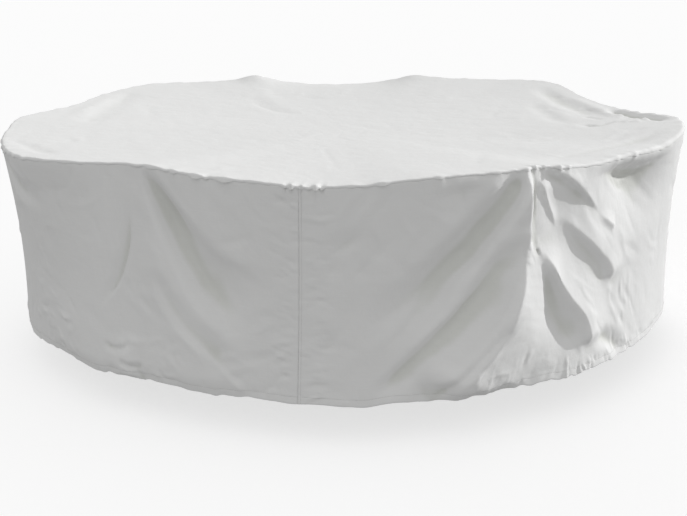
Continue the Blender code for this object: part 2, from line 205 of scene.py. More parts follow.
# The main folds, most of which the solids have too, then the finer ones.
SKIRT_FOLDS = (
    Fold("left swag",
         ((-0.61, -0.05), (-0.545, 0.12), (-0.475, 0.27), (-0.40, 0.41), (-0.30, 0.55), (-0.12, 0.68)),
         0.018, 0.034, 7.2, -0.052, Crest.ROUND, 0.34, 0.36),
    Fold("left swag, lip", ((-0.57, 0.22), (-0.54, 0.40), (-0.48, 0.55), (-0.39, 0.68), (-0.26, 0.78)),
         0.110, 0.050, 1.4, 0.010, Crest.ROUND, 0.30, 0.40),
    Fold("left lower swag", ((-0.55, 0.43), (-0.50, 0.58), (-0.42, 0.69), (-0.33, 0.79), (-0.24, 0.93)),
         0.040, 0.080, 1.3, -0.017, Crest.ROUND, 0.40, 0.25),
    Fold("left lower swag, lip", ((-0.47, 0.70), (-0.36, 0.805), (-0.28, 0.88), (-0.19, 0.985)),
         0.030, 0.018, 1.2, 0.007, Crest.SHARP, 0.30, 0.10),
    Fold("left curl", ((-0.655, 0.13), (-0.65, 0.30), (-0.67, 0.44), (-0.71, 0.56), (-0.79, 0.68)),
         0.045, 0.014, 1.0, -0.012, Crest.FIRM, 0.45, 0.30),
    Fold("left knee", ((-0.67, 0.78), (-0.66, 1.01)),
         0.100, 0.090, 1.0, 0.014, Crest.ROUND, 0.40, 0.10),
    Fold("left corner tuck", ((-1.33, 0.02), (-1.17, 0.15), (-1.00, 0.24)),
         0.055, 0.055, 1.3, -0.014, Crest.ROUND, 0.20, 0.45),
    Fold("right short swag", ((0.80, 0.012), (0.64, 0.055), (0.52, 0.085), (0.40, 0.135)),
         0.045, 0.110, 1.3, -0.014, Crest.ROUND, 0.10, 0.50),
    Fold("right swag",
         ((0.80, -0.03), (0.71, 0.145), (0.62, 0.29), (0.53, 0.43), (0.41, 0.59), (0.20, 0.74)),
         0.080, 0.040, 2.5, -0.052, Crest.ROUND, 0.12, 0.42),
    Fold("right swag, lip", ((0.67, 0.34), (0.52, 0.49), (0.38, 0.62), (0.17, 0.79)),
         0.055, 0.055, 1.3, 0.013, Crest.ROUND, 0.30, 0.40),
    Fold("right lower swag", ((0.69, 0.42), (0.60, 0.57), (0.52, 0.68), (0.43, 0.78), (0.25, 0.98)),
         0.040, 0.055, 1.3, -0.021, Crest.SOFT, 0.35, 0.20),
    Fold("right hem swag", ((0.75, 0.63), (0.64, 0.73), (0.54, 0.85), (0.46, 0.99)),
         0.045, 0.028, 1.2, -0.013, Crest.SOFT, 0.30, 0.10),
    Fold("corner ridge", ((0.775, -0.12), (0.785, 0.20), (0.79, 0.44)),
         0.340, 0.040, 1.0, 0.040, Crest.SOFT, 0.15, 0.30),
    Fold("corner ridge, near the rim", ((0.775, -0.12), (0.780, 0.10), (0.785, 0.26)),
         0.250, 0.034, 1.0, 0.021, Crest.SOFT, 0.15, 0.50),
    Fold("corner fall", ((0.79, 0.29), (0.74, 0.54), (0.61, 0.74), (0.42, 0.97)),
         0.100, 0.200, 1.4, 0.070, Crest.FIRM, 0.30, 0.17),
    Fold("corner foot, side", ((0.75, 0.46), (0.70, 0.66), (0.58, 0.85), (0.45, 1.03)),
         0.045, 0.170, 2.0, 0.040, Crest.SOFT, 0.35, 0.30),
    Fold("leaf ridge", ((0.85, -0.07), (0.93, 0.005), (1.005, 0.070), (1.085, 0.145), (1.19, 0.26)),
         0.060, 0.150, 0.6, 0.021, Crest.SHARP, 0.10, 0.45, 0.24),
    Fold("leaf trough", ((0.79, -0.07), (0.86, 0.010), (0.915, 0.045), (0.975, 0.070), (1.04, 0.120)),
         0.055, 0.050, 0.6, -0.013, Crest.SOFT, 0.20, 0.55),
    Fold("leaf ridge, end", ((1.16, 0.245), (1.215, 0.295), (1.265, 0.34)),
         0.034, 0.055, 1.0, 0.013, Crest.SHARP, 0.50, 0.20),
    Fold("lens ridge", ((0.96, 0.235), (1.04, 0.30), (1.13, 0.395), (1.21, 0.495), (1.25, 0.62)),
         0.022, 0.110, 1.25, 0.025, Crest.SOFT, 0.46, 0.16, 2.2),
    Fold("drop ridge", ((0.84, 0.35), (0.91, 0.48), (0.985, 0.61), (1.065, 0.735), (1.09, 0.90)),
         0.040, 0.130, 1.40, 0.033, Crest.FIRM, 0.22, 0.14, 1.5),
    Fold("drop, left side", ((0.85, 0.42), (0.89, 0.58), (0.945, 0.72), (1.03, 0.88)),
         0.150, 0.055, 1.0, -0.021, Crest.SOFT, 0.40, 0.26),
    Fold("wedge shelf",
         ((1.10, 0.020), (1.25, 0.080), (1.36, 0.125), (1.45, 0.135), (1.55, 0.085), (1.67, 0.010)),
         0.120, 0.240, 1.0, -0.086, Crest.FIRM, 0.55, 0.50),
    Fold("right span, hollow", ((0.93, 0.0), (1.02, 0.95)),
         0.140, 0.400, 1.0, -0.020, Crest.ROUND, 0.20, 0.50),
    Fold("left span, hollow", ((-0.92, 0.0), (-0.98, 0.95)),
         0.300, 0.200, 1.0, -0.016, Crest.ROUND, 0.20, 0.50),
    Fold("right end, fall", ((2.06, 0.05), (2.11, 0.55), (2.12, 1.05)),
         0.120, 0.090, 1.3, 0.016, Crest.ROUND, 0.25, 0.10),
    Fold("right end, swag", ((2.10, 0.0), (2.26, 0.36), (2.44, 0.72)),
         0.060, 0.070, 1.8, -0.018, Crest.ROUND, 0.15, 0.40),
    Fold("right back span, hollow", ((2.50, 0.0), (2.46, 0.95)),
         0.220, 0.220, 1.0, -0.022, Crest.ROUND, 0.20, 0.50),
    Fold("back right fall", ((2.86, 0.0), (2.91, 0.50), (2.92, 1.00)),
         0.100, 0.090, 1.3, 0.026, Crest.FIRM, 0.15, 0.10),
    Fold("back right swag", ((2.90, 0.0), (3.17, 0.37), (3.44, 0.74)),
         0.060, 0.060, 2.0, -0.020, Crest.ROUND, 0.15, 0.45),
    Fold("back right lip", ((2.98, 0.30), (3.20, 0.61), (3.40, 0.92)),
         0.050, 0.050, 1.4, 0.012, Crest.ROUND, 0.30, 0.30),
    Fold("back middle, right swag", ((3.50, 0.0), (3.62, 0.30), (3.72, 0.60)),
         0.050, 0.050, 1.8, -0.014, Crest.ROUND, 0.20, 0.45),
    Fold("back middle, left swag", ((-3.22, 0.0), (-3.37, 0.33), (-3.52, 0.66)),
         0.050, 0.060, 1.8, -0.015, Crest.ROUND, 0.20, 0.45),
    Fold("back left swag", ((-2.70, 0.0), (-2.94, 0.40), (-3.16, 0.80)),
         0.060, 0.060, 1.8, -0.018, Crest.ROUND, 0.15, 0.40),
    Fold("back left fall", ((-2.66, 0.0), (-2.66, 0.50), (-2.62, 1.00)),
         0.090, 0.100, 1.3, 0.024, Crest.FIRM, 0.15, 0.10),
    Fold("left back span, hollow", ((-2.30, 0.0), (-2.28, 0.95)),
         0.220, 0.220, 1.0, -0.020, Crest.ROUND, 0.20, 0.50),
    Fold("left end, swag", ((-1.93, 0.0), (-2.07, 0.35), (-2.22, 0.70)),
         0.060, 0.060, 1.7, -0.014, Crest.ROUND, 0.15, 0.40),
    Fold("left end, fall", ((-1.86, 0.10), (-1.84, 1.05)),
         0.090, 0.110, 1.2, 0.014, Crest.ROUND, 0.25, 0.10),
    # Finer folds at the front left
    Fold("left tuck mark", ((-0.88, 0.01), (-0.89, 0.11)),
         0.012, 0.014, 1.0, -0.004, Crest.SOFT, 0.20, 0.40),
    Fold("left hem nick", ((-1.055, 0.93), (-1.01, 1.0)),
         0.014, 0.018, 1.0, -0.012, Crest.FIRM, 0.30, 0.20),
    Fold("left knee, upper dent", ((-0.79, 0.85), (-0.71, 0.87), (-0.63, 0.83)),
         0.020, 0.026, 1.0, -0.011, Crest.FIRM, 0.30, 0.30),
    Fold("left knee, lower dent", ((-0.70, 0.925), (-0.64, 0.945), (-0.58, 0.935)),
         0.014, 0.024, 1.0, -0.013, Crest.FIRM, 0.20, 0.25),
    Fold("left knee, hem fall", ((-0.62, 0.95), (-0.59, 1.0)),
         0.020, 0.020, 1.0, -0.007, Crest.FIRM, 0.30, 0.10),
    # Finer folds at the front right
    Fold("front right, faint swag", ((0.23, 0.21), (0.12, 0.27), (0.02, 0.33)),
         0.055, 0.040, 1.2, -0.006, Crest.ROUND, 0.40, 0.50),
    Fold("right hem crease", ((0.73, 0.66), (0.64, 0.74), (0.57, 0.82), (0.51, 0.90), (0.45, 1.0)),
         0.010, 0.014, 1.3, -0.005, Crest.SHARP, 0.25, 0.10),
    Fold("left hem, turned in", ((-1.22, 1.05), (-0.70, 1.05), (-0.08, 1.05)),
         0.020, 0.100, 1.0, -0.026, Crest.ROUND, 0.20, 0.25),
    Fold("corner hem, turned in", ((0.50, 1.03), (0.64, 1.04), (0.79, 1.04)),
         0.020, 0.060, 1.0, -0.030, Crest.ROUND, 0.30, 0.30),
    Fold("corner slit", ((0.812, 0.09), (0.808, 0.20), (0.800, 0.36)),
         0.012, 0.016, 1.0, -0.013, Crest.FIRM, 0.20, 0.20),
    Fold("crescent ridge", ((0.835, 0.04), (0.862, 0.10), (0.89, 0.17), (0.945, 0.295)),
         0.018, 0.045, 1.0, 0.010, Crest.SHARP, 0.25, 0.35),
    Fold("leaf, foot", ((1.00, 0.095), (1.08, 0.15)),
         0.020, 0.030, 1.0, -0.006, Crest.SOFT, 0.40, 0.40),
    Fold("wedge, foot", ((1.33, 0.165), (1.37, 0.180), (1.43, 0.165)),
         0.012, 0.016, 1.0, -0.006, Crest.FIRM, 0.4, 0.4),
    Fold("right side, low crease", ((1.13, 0.84), (1.22, 0.90), (1.32, 0.99)),
         0.050, 0.060, 1.0, -0.016, Crest.SOFT, 0.35, 0.25),
)

SKIRT_CRUMPLES = (
    Crumple("beside the front seam, left", (-0.085, 0.03), (-0.010, 0.98),
            60, 0.075, 0.010, 0.0030, 6.0, 14.0, 11),
    Crumple("beside the front seam, right", (0.010, 0.03), (0.085, 0.98),
            60, 0.075, 0.010, 0.0030, -4.0, 14.0, 12),
    Crumple("left of the seam's foot", (-0.26, 0.62), (-0.03, 0.97),
            18, 0.130, 0.018, 0.0032, -28.0, 14.0, 13),
    Crumple("left knee", (-0.80, 0.80), (-0.40, 0.99), 30, 0.080, 0.016, 0.0036, 20.0, 60.0, 14),
    Crumple("left end, low", (-1.25, 0.60), (-0.95, 0.98), 24, 0.080, 0.018, 0.0050, 20.0, 60.0, 15),
    Crumple("left end, high", (-1.30, 0.10), (-1.00, 0.72), 16, 0.150, 0.022, 0.0034, 80.0, 14.0, 16),
    Crumple("front left, high", (-0.95, 0.04), (-0.60, 0.60), 16, 0.150, 0.024, 0.0030, 84.0, 12.0, 17),
    Crumple("front left, fan", (-0.62, 0.05), (-0.10, 0.60), 20, 0.240, 0.034, 0.0030, 46.0, 12.0, 31),
    Crumple("front right, fan", (0.10, 0.05), (0.76, 0.80), 28, 0.240, 0.034, 0.0030, 134.0, 12.0, 32),
    Crumple("front, all over", (-1.30, 0.05), (0.78, 0.97), 110, 0.170, 0.034, 0.0024, 40.0, 60.0, 18),
    Crumple("front hem", (-1.20, 0.94), (0.90, 1.00), 50, 0.040, 0.014, 0.0026, 82.0, 24.0, 19),
    Crumple("corner foot", (0.50, 0.86), (0.92, 1.00), 24, 0.090, 0.014, 0.0030, 140.0, 50.0, 20),
    Crumple("corner knot", (0.77, 0.32), (0.86, 0.42), 22, 0.034, 0.007, 0.0042, 60.0, 60.0, 21),
    Crumple("corner ridge", (0.76, 0.02), (0.83, 0.36), 18, 0.060, 0.008, 0.0026, 84.0, 16.0, 22),
    Crumple("right side, low", (1.08, 0.60), (1.42, 0.95), 22, 0.110, 0.020, 0.0032, 66.0, 30.0, 23),
    Crumple("right hem", (0.90, 0.93), (1.50, 1.00), 34, 0.045, 0.011, 0.0050, 76.0, 30.0, 24),
    Crumple("right side, all over", (0.86, 0.04), (1.60, 0.96),
            44, 0.170, 0.030, 0.0030, 50.0, 26.0, 25),
    Crumple("right end and back", (1.60, 0.04), (3.74, 0.97),
            110, 0.160, 0.028, 0.0036, 60.0, 50.0, 26),
    Crumple("left end and back", (-3.74, 0.04), (-1.30, 0.97),
            110, 0.160, 0.028, 0.0036, -60.0, 50.0, 27),
    Crumple("back hem, right", (1.50, 0.94), (3.74, 1.00), 60, 0.040, 0.013, 0.0030, 82.0, 24.0, 28),
    Crumple("back hem, left", (-3.74, 0.94), (-1.20, 1.00), 70, 0.040, 0.013, 0.0030, 82.0, 24.0, 29),
    Crumple("beside the back seam, right", (3.66, 0.03), (3.74, 0.98),
            50, 0.075, 0.010, 0.0030, 4.0, 14.0, 30),
    Crumple("beside the back seam, left", (-3.74, 0.03), (-3.66, 0.98),
            50, 0.075, 0.010, 0.0030, -4.0, 14.0, 33),
)

# Folds in the top panel, in plan: metres to the right of the middle and behind it.
TOP_FOLDS = (
    Fold("left end", ((-1.00, 0.74), (-1.02, 0.34), (-1.06, -0.08)), 0.080, 0.080, 1.0, -0.004),
    Fold("left end, beside it", ((-1.08, 0.60), (-1.14, 0.00)), 0.070, 0.070, 1.0, 0.003),
    Fold("left rim", ((-1.28, -0.31), (-1.19, -0.41), (-1.03, -0.56)), 0.050, 0.050, 1.0, -0.006),
    Fold("back left", ((-0.45, 0.70), (-0.32, 0.44), (-0.16, 0.30)), 0.060, 0.060, 1.0, -0.0025),
    Fold("right end", ((0.92, 0.78), (1.00, 0.43), (1.07, 0.06)), 0.070, 0.070, 1.0, -0.008),
    Fold("right end, beside it", ((1.06, 0.60), (1.16, 0.06)), 0.050, 0.050, 1.0, 0.008),
    Fold("right end, inner", ((0.86, 0.52), (0.88, 0.20), (0.94, 0.00)), 0.060, 0.060, 1.0, -0.005),
    Fold("right rim", ((0.70, -0.59), (1.31, -0.13)), 0.050, 0.050, 1.0, -0.006),
    Fold("front right", ((0.52, -0.42), (0.44, -0.76)), 0.060, 0.060, 1.0, -0.0015),
    Fold("right back corner", ((1.14, 0.26), (1.22, 0.145), (1.30, 0.055), (1.35, -0.03)),
         0.060, 0.045, 1.0, -0.036),
    # Finer creases
    Fold("right end, lip", ((0.975, 0.01), (1.03, -0.02), (1.10, 0.02), (1.155, 0.03)),
         0.014, 0.020, 1.0, -0.014, Crest.FIRM, 0.20, 0.45),
    Fold("right end, short crease", ((1.02, 0.17), (1.08, 0.06)),
         0.012, 0.018, 1.0, -0.006, Crest.FIRM),
    Fold("left end, crease", ((-1.0, 0.74), (-1.01, 0.36)),
         0.014, 0.016, 1.0, -0.002, Crest.FIRM, 0.3, 0.4),
    Fold("back left, crease", ((-0.44, 0.60), (-0.32, 0.42), (-0.18, 0.335)),
         0.012, 0.016, 1.0, -0.0022, Crest.FIRM, 0.2, 0.5),
    Fold("back left, faint", ((-0.85, 0.36), (-0.82, 0.16)), 0.020, 0.020, 1.0, -0.0012),
    Fold("front, faint", ((-0.08, -0.31), (-0.02, -0.70)), 0.020, 0.022, 1.0, -0.0010),
    Fold("back right, faint", ((0.73, 0.51), (0.615, 0.18)), 0.020, 0.022, 1.0, -0.0016),
    Fold("front right, faint", ((0.51, -0.44), (0.45, -0.73)), 0.014, 0.018, 1.0, -0.0010, Crest.SOFT),
)

TOP_CRUMPLES = (
    Crumple("along the right front rim", (0.72, -0.52), (1.28, -0.10),
            22, 0.200, 0.014, 0.0030, 38.0, 8.0, 41),
    Crumple("right back corner", (1.16, 0.00), (1.34, 0.22), 44, 0.050, 0.010, 0.0090, 60.0, 60.0, 42),
    Crumple("right end", (0.90, -0.10), (1.24, 0.60), 26, 0.110, 0.016, 0.0030, 100.0, 24.0, 43),
    Crumple("left end", (-1.28, -0.40), (-1.00, 0.30), 24, 0.090, 0.016, 0.0026, 70.0, 40.0, 44),
    Crumple("all over", (-1.10, -0.80), (1.00, 0.85), 70, 0.200, 0.030, 0.0016, 90.0, 90.0, 45),
)


@dataclass(frozen=True)
class GatherZone:
    """A stretch of the rim where the seam is puckered.

    Attributes:
        start: Where it begins, in metres along the rim.
        end: Where it ends.
        pitch: Middle distance between two puckers.
        depth: Largest depth of a pucker.
    """

    start: float
    end: float
    pitch: float
    depth: float


GATHER_ZONES = (
    GatherZone(-3.75, 3.75, 0.060, 0.0016),
    GatherZone(-1.34, -1.02, 0.032, 0.0036),
    GatherZone(-0.66, -0.44, 0.060, 0.0030),
    GatherZone(-0.46, -0.18, 0.056, 0.0060),
    GatherZone(-0.06, 0.08, 0.020, 0.0084),
    GatherZone(0.17, 0.31, 0.056, 0.0040),
    GatherZone(0.38, 0.50, 0.056, 0.0030),
    GatherZone(0.74, 0.98, 0.024, 0.0040),
    GatherZone(1.14, 1.60, 0.060, 0.0030),
    GatherZone(1.84, 2.30, 0.034, 0.0046),
    GatherZone(2.70, 3.55, 0.060, 0.0016),
    GatherZone(-3.60, -2.60, 0.060, 0.0016),
)

# How unevenly the hem hangs, up and down.
HEM_ZONES = (
    GatherZone(-3.75, 3.75, 0.130, 0.0040),
    GatherZone(-1.30, -0.95, 0.040, 0.0040),
    GatherZone(-0.82, -0.15, 0.048, 0.0042),
    GatherZone(0.40, 1.50, 0.050, 0.0056),
)


def smooth(value: np.ndarray | float) -> np.ndarray:
    """A soft step: 0 below 0, 1 above 1."""
    share = np.clip(value, 0.0, 1.0)
    return share * share * (3.0 - 2.0 * share)


def smooth_path(path: tuple[Place, ...], steps: int) -> np.ndarray:
    """Lays a smooth curve through a few places.

    Args:
        path: The places, at least two.
        steps: How many short runs each stretch between two places gets.

    Returns:
        The curve's points, one row each.
    """
    knots = np.array(path, float)
    if len(knots) == 2:
        return np.linspace(knots[0], knots[1], steps + 1)
    before = 2 * knots[0] - knots[1]
    after = 2 * knots[-1] - knots[-2]
    ring = np.vstack([before, knots, after])
    share = np.linspace(0.0, 1.0, steps, endpoint=False)[:, None]
    curve = []
    for a, b, c, d in zip(ring, ring[1:], ring[2:], ring[3:]):
        turn = 2 * a - 5 * b + 4 * c - d
        bend = 3 * b - a - 3 * c + d
        curve.append(0.5 * (2 * b + (c - a) * share + turn * share**2 + bend * share**3))
    return np.vstack([*curve, knots[-1:]])


def blurred(values: np.ndarray, reach: int) -> np.ndarray:
    """Averages a grid over a square of cells round each point.

    Args:
        values: Grid of vectors, rows by columns by parts.
        reach: Cells to either side.

    Returns:
        A grid of the same size.
    """
    soft = values
    for axis in (0, 1):
        pad = [(0, 0)] * values.ndim
        pad[axis] = (reach + 1, reach)
        total = np.cumsum(np.pad(soft, pad, mode="edge"), axis=axis)
        span = 2 * reach + 1
        size = values.shape[axis]
        high = np.take(total, range(span, span + size), axis=axis)
        low = np.take(total, range(size), axis=axis)
        soft = (high - low) / span
    return soft


class Relief:
    """Sum of folds and crumples over a flat cloth."""

    CURVE_STEPS = 6
    CREASE_STEPS = 3
    # Ranges of what varies from crease to crease in a patch, as shares of its middle size
    HALF_LENGTH = (0.3, 0.8)
    BOW = (-0.35, 0.35)
    WIDTH = (0.6, 1.5)
    SKEW = (0.6, 1.6)
    RISE = (0.3, 1.0)
    CREASE_ENDS = 0.45

    def __init__(self, folds: tuple[Fold, ...], crumples: tuple[Crumple, ...], drop: float) -> None:
        """Prepares the folds.

        Args:
            folds: The listed folds.
            crumples: The patches of small creases.
            drop: Metres that a step of 1 in a place's second number stands for.
        """
        self.scale = np.array([1.0, drop])
        self.folds = [(fold, smooth_path(fold.path, self.CURVE_STEPS) * self.scale) for fold in folds]
        for patch in crumples:
            self.folds.extend(self.creases(patch))

    def creases(self, patch: Crumple) -> list[tuple[Fold, np.ndarray]]:
        """Scatters the small creases of a patch.

        Args:
            patch: The patch.

        Returns:
            Each crease with its curve in metres.
        """
        rng = np.random.default_rng(patch.seed)
        low = np.array(patch.start) * self.scale
        high = np.array(patch.end) * self.scale
        made = []
        for _ in range(patch.count):
            middle = low + (high - low) * rng.random(2)
            angle = math.radians(patch.turn + patch.swing * rng.uniform(-1.0, 1.0))
            half = patch.length * rng.uniform(*self.HALF_LENGTH)
            run = np.array([math.cos(angle), math.sin(angle)]) * half
            bow = np.array([-run[1], run[0]]) * rng.uniform(*self.BOW)
            width = patch.width * rng.uniform(*self.WIDTH)
            skew = rng.uniform(*self.SKEW)
            rise = patch.rise * rng.uniform(*self.RISE) * rng.choice((-1.0, 1.0))
            ends = (self.CREASE_ENDS, self.CREASE_ENDS)
            crease = Fold(patch.name, (), width * skew, width / skew, 1.0, rise, Crest.SOFT, *ends)
            path = (tuple(middle - run), tuple(middle + bow), tuple(middle + run))
            made.append((crease, smooth_path(path, self.CREASE_STEPS)))
        return made

    @staticmethod
    def flank(fold: Fold, line: np.ndarray, spots: np.ndarray) -> np.ndarray:
        """How strongly a fold works at spots near it.

        Args:
            fold: The fold.
            line: Its curve in metres.
            spots: Spots on the cloth in metres.

        Returns:
            From 0, untouched, to 1, on the crest.
        """
        start = line[:-1]
        run = line[1:] - start
        length = np.linalg.norm(run, axis=1)
        travelled = np.concatenate([[0.0], np.cumsum(length)])
        offset = spots[:, None, :] - start[None]
        share = np.clip((offset * run).sum(axis=2) / length**2, 0.0, 1.0)
        away = np.linalg.norm(offset - share[..., None] * run, axis=2)
        best = away.argmin(axis=1)
        rows = np.arange(len(spots))
        distance = away[rows, best]
        inside = (travelled[best] + share[rows, best] * length[best]) / travelled[-1]
        nearest = offset[rows, best]
        heading = run[best]
        side = heading[:, 1] * nearest[:, 0] - heading[:, 0] * nearest[:, 1]
        whole = line[-1] - line[0]
        side = side * (1.0 if whole[1] >= 0 else -1.0)
        left = fold.left * (1.0 + (fold.narrow - 1.0) * inside)
        width = np.where(side < 0, left, fold.right) * (1.0 + (fold.spread - 1.0) * inside)
        near = np.clip(1.0 - distance / width, 0.0, 1.0)
        pinch = fold.crest.value
        shape = smooth(near) * (1.0 - pinch) + near * near * pinch
        return shape * smooth(inside / fold.opens) * smooth((1.0 - inside) / fold.closes)

    def at(self, spots: np.ndarray) -> np.ndarray:
        """Adds up all folds.

        Args:
            spots: Spots on the cloth in metres.

        Returns:
            How far each spot stands out.
        """
        rise = np.zeros(len(spots))
        for fold, line in self.folds:
            reach = max(fold.left, fold.right) * max(fold.spread, 1.0)
            low, high = line.min(axis=0) - reach, line.max(axis=0) + reach
            found = np.flatnonzero(((spots > low) & (spots < high)).all(axis=1))
            if len(found) == 0:
                continue
            strength = self.flank(fold, line, spots[found])
            rise[found] += fold.rise * strength
        return rise


class Gathers:
    """Puckers along the sewn rim, or the hem's unevenness."""

    # Ranges of what varies from pucker to pucker, as shares of the zone's pitch and depth
    SHIFT = (0.1, 0.9)
    WIDTH = (0.35, 0.8)
    DEPTH = (0.2, 1.0)

    def __init__(self, zones: tuple[GatherZone, ...], seed: int) -> None:
        """Scatters the puckers of all zones.

        Args:
            zones: The puckered stretches.
            seed: Seed of the scatter.
        """
        rng = np.random.default_rng(seed)
        rows = []
        for zone in zones:
            count = round((zone.end - zone.start) / zone.pitch)
            places = zone.start + (np.arange(count) + rng.uniform(*self.SHIFT, count)) * zone.pitch
            widths = zone.pitch * rng.uniform(*self.WIDTH, count)
            signs = np.where(np.arange(count) % 2, 1.0, -1.0)
            depths = zone.depth * rng.uniform(*self.DEPTH, count) * signs
            rows.append(np.stack([places, widths, depths], axis=1))
        self.rows = np.vstack(rows)

    def at(self, along: np.ndarray) -> np.ndarray:
        """How far the seam stands out at places along the rim.

        Args:
            along: Metres along the rim, from the back seam's left side to its right side.

        Returns:
            The stand-out in metres, minus where the seam is drawn in.
        """
        total = np.zeros(len(along))
        for place, width, depth in self.rows:
            near = np.abs(along - place) < width
            total[near] += depth * smooth(1.0 - np.abs(along[near] - place) / width)
        return total


@dataclass
class Drape:
    """The surface on which the whole cover lies.

    Attributes:
        cloth: Thickness of the solid cloth.
        middle_height: Top panel's outer face above the ground, at the middle.
        seam_drop: From the end of the rim's roll down to its seam with the skirt.
        seam_jag: How much further the seam hangs where the rim is puckered, per metre of pucker.
        flare: How far the sewn edge stands out over the skirt, per metre of pucker.
        sag_power: How late the top leaves its sagging middle for the rim.
        waist: How far the skirt draws in half way down.
        rim_share: Share of a fold's rise that the rim itself follows.
        rim_hold: Depth over which the folds open under the rim.
        rim_give: How far in from the rim the top panel follows it.
        rim_fade: How soon the top's own folds open inside the rim; 1 is at the middle.
        gather_fade: Depth over which the rim's puckers die out.
        peak_from: How far round the rim, on either side, the back's peaks start.
        peak_ease: Length of rim over which they set in.
        peak_reach: Half the length of rim whose mean height the peaks stand above.
        peak_samples: How many heights that mean is taken from.
        peak_power: How soon the peaks die out towards the middle.
        hem_reach: Height above the hem over which its unevenness sets in.
        tangent_step: Half the length of rim from which its direction is read.
        gather_seed: Seed of the rim's puckers.
        hem_seed: Seed of the hem's unevenness.
        rim_points: The stations' places on the rim, in the cover's frame.
        hem_points: The stations' places on the hem.
        rolls: The stations' radii of the turned edge.
        round: Length of the rim.
        knots: The stations' places along the rim, in metres from the front seam.
        drop: Mean height of the skirt.
        skirt_relief: Folds of the skirt.
        top_relief: Folds of the top.
        gathers: Puckers of the rim.
        hem_gathers: Unevenness of the hem.
    """

    cloth: float = 0.002
    middle_height: float = 0.86
    seam_drop: float = 0.003
    seam_jag: float = 1.2
    flare: float = 1.6
    sag_power: float = 2.2
    waist: float = 0.016
    rim_share: float = 0.30
    rim_hold: float = 0.050
    rim_give: float = 0.12
    rim_fade: float = 12.0
    gather_fade: float = 0.030
    peak_from: float = 2.9
    peak_ease: float = 0.3
    peak_reach: float = 0.36
    peak_samples: int = 9
    peak_power: float = 14.0
    hem_reach: float = 0.060
    tangent_step: float = 0.01
    gather_seed: int = 7
    hem_seed: int = 8
    rim_points: np.ndarray = field(init=False)
    hem_points: np.ndarray = field(init=False)
    rolls: np.ndarray = field(init=False)
    round: float = field(init=False)
    knots: np.ndarray = field(init=False)
    drop: float = field(init=False)
    skirt_relief: Relief = field(init=False)
    top_relief: Relief = field(init=False)
    gathers: Gathers = field(init=False)
    hem_gathers: Gathers = field(init=False)

    def __post_init__(self) -> None:
        """Lays the rim and the hem through the stations and gathers the folds."""
        ground = self.middle_height - self.cloth
        self.rim_points = np.array([(s.rim_x, s.rim_y, s.rim_z - ground) for s in STATIONS])
        self.hem_points = np.array([(s.hem_x, s.hem_y, s.hem_z - ground) for s in STATIONS])
        self.rolls = np.array([(s.roll,) for s in STATIONS])
        steps = np.linalg.norm(np.roll(self.rim_points, -1, axis=0) - self.rim_points, axis=1)
        self.round = float(steps.sum())
        self.knots = np.concatenate([[0.0], np.cumsum(steps)[:-1]])
        self.drop = float(np.mean(self.rim_points[:, 2] - self.hem_points[:, 2] - self.rolls[:, 0]))
        self.skirt_relief = Relief(SKIRT_FOLDS, SKIRT_CRUMPLES, self.drop)
        self.top_relief = Relief(TOP_FOLDS, TOP_CRUMPLES, 1.0)
        self.gathers = Gathers(GATHER_ZONES, self.gather_seed)
        self.hem_gathers = Gathers(HEM_ZONES, self.hem_seed)

    def closed_curve(self, values: np.ndarray, along: np.ndarray) -> np.ndarray:
        """Reads a closed curve that runs smoothly through the stations.

        Args:
            values: The curve's points at the stations.
            along: Metres along the rim from the front seam.

        Returns:
            The curve's points there.
        """
        spans = np.diff(np.append(self.knots, self.round))
        slopes = (np.roll(values, -1, axis=0) - values) / spans[:, None]
        before = np.roll(spans, 1)[:, None]
        after = spans[:, None]
        tangents = (np.roll(slopes, 1, axis=0) * after + slopes * before) / (before + after)
        place = np.mod(along, self.round)
        left = np.clip(np.searchsorted(self.knots, place, side="right") - 1, 0, len(values) - 1)
        right = (left + 1) % len(values)
        span = spans[left][:, None]
        share = ((place - self.knots[left]) / spans[left])[:, None]
        square, cube = share**2, share**3
        return (
            (2 * cube - 3 * square + 1) * values[left]
            + (cube - 2 * square + share) * span * tangents[left]
            + (3 * square - 2 * cube) * values[right]
            + (cube - square) * span * tangents[right]
        )

    def rim(self, along: np.ndarray) -> np.ndarray:
        """Points on top of the rim."""
        return self.closed_curve(self.rim_points, along)

    def peak(self, along: np.ndarray) -> np.ndarray:
        """How far the back rim stands above its own mean height thereabouts.

        Args:
            along: Metres along the rim.

        Returns:
            The height of a peak at each place, 0 at the front and the ends.
        """
        steps = np.linspace(-self.peak_reach, self.peak_reach, self.peak_samples)
        mean = np.mean([self.rim(along + step)[:, 2] for step in steps], axis=0)
        share = smooth((np.abs(self.signed(along)) - self.peak_from) / self.peak_ease)
        return (self.rim(along)[:, 2] - mean) * share

    def hem(self, along: np.ndarray) -> np.ndarray:
        """Points on the hem."""
        return self.closed_curve(self.hem_points, along)

    def running(self, along: np.ndarray) -> np.ndarray:
        """Which way the rim runs, seen from above.

        Args:
            along: Metres along the rim.

        Returns:
            Level unit vectors, anticlockwise.
        """
        step = self.tangent_step
        ahead = self.rim(along + step) + self.hem(along + step)
        behind = self.rim(along - step) + self.hem(along - step)
        run = (ahead - behind) * np.array([1.0, 1.0, 0.0])
        return run / np.linalg.norm(run, axis=1)[:, None]

    def outward(self, along: np.ndarray) -> np.ndarray:
        """Level unit vectors that point out of the cover."""
        run = self.running(along)
        return np.stack([run[:, 1], -run[:, 0], np.zeros(len(run))], axis=1)

    def signed(self, along: np.ndarray) -> np.ndarray:
        """Places along the rim from minus half way round to plus half way round."""
        return np.mod(along + self.round / 2, self.round) - self.round / 2

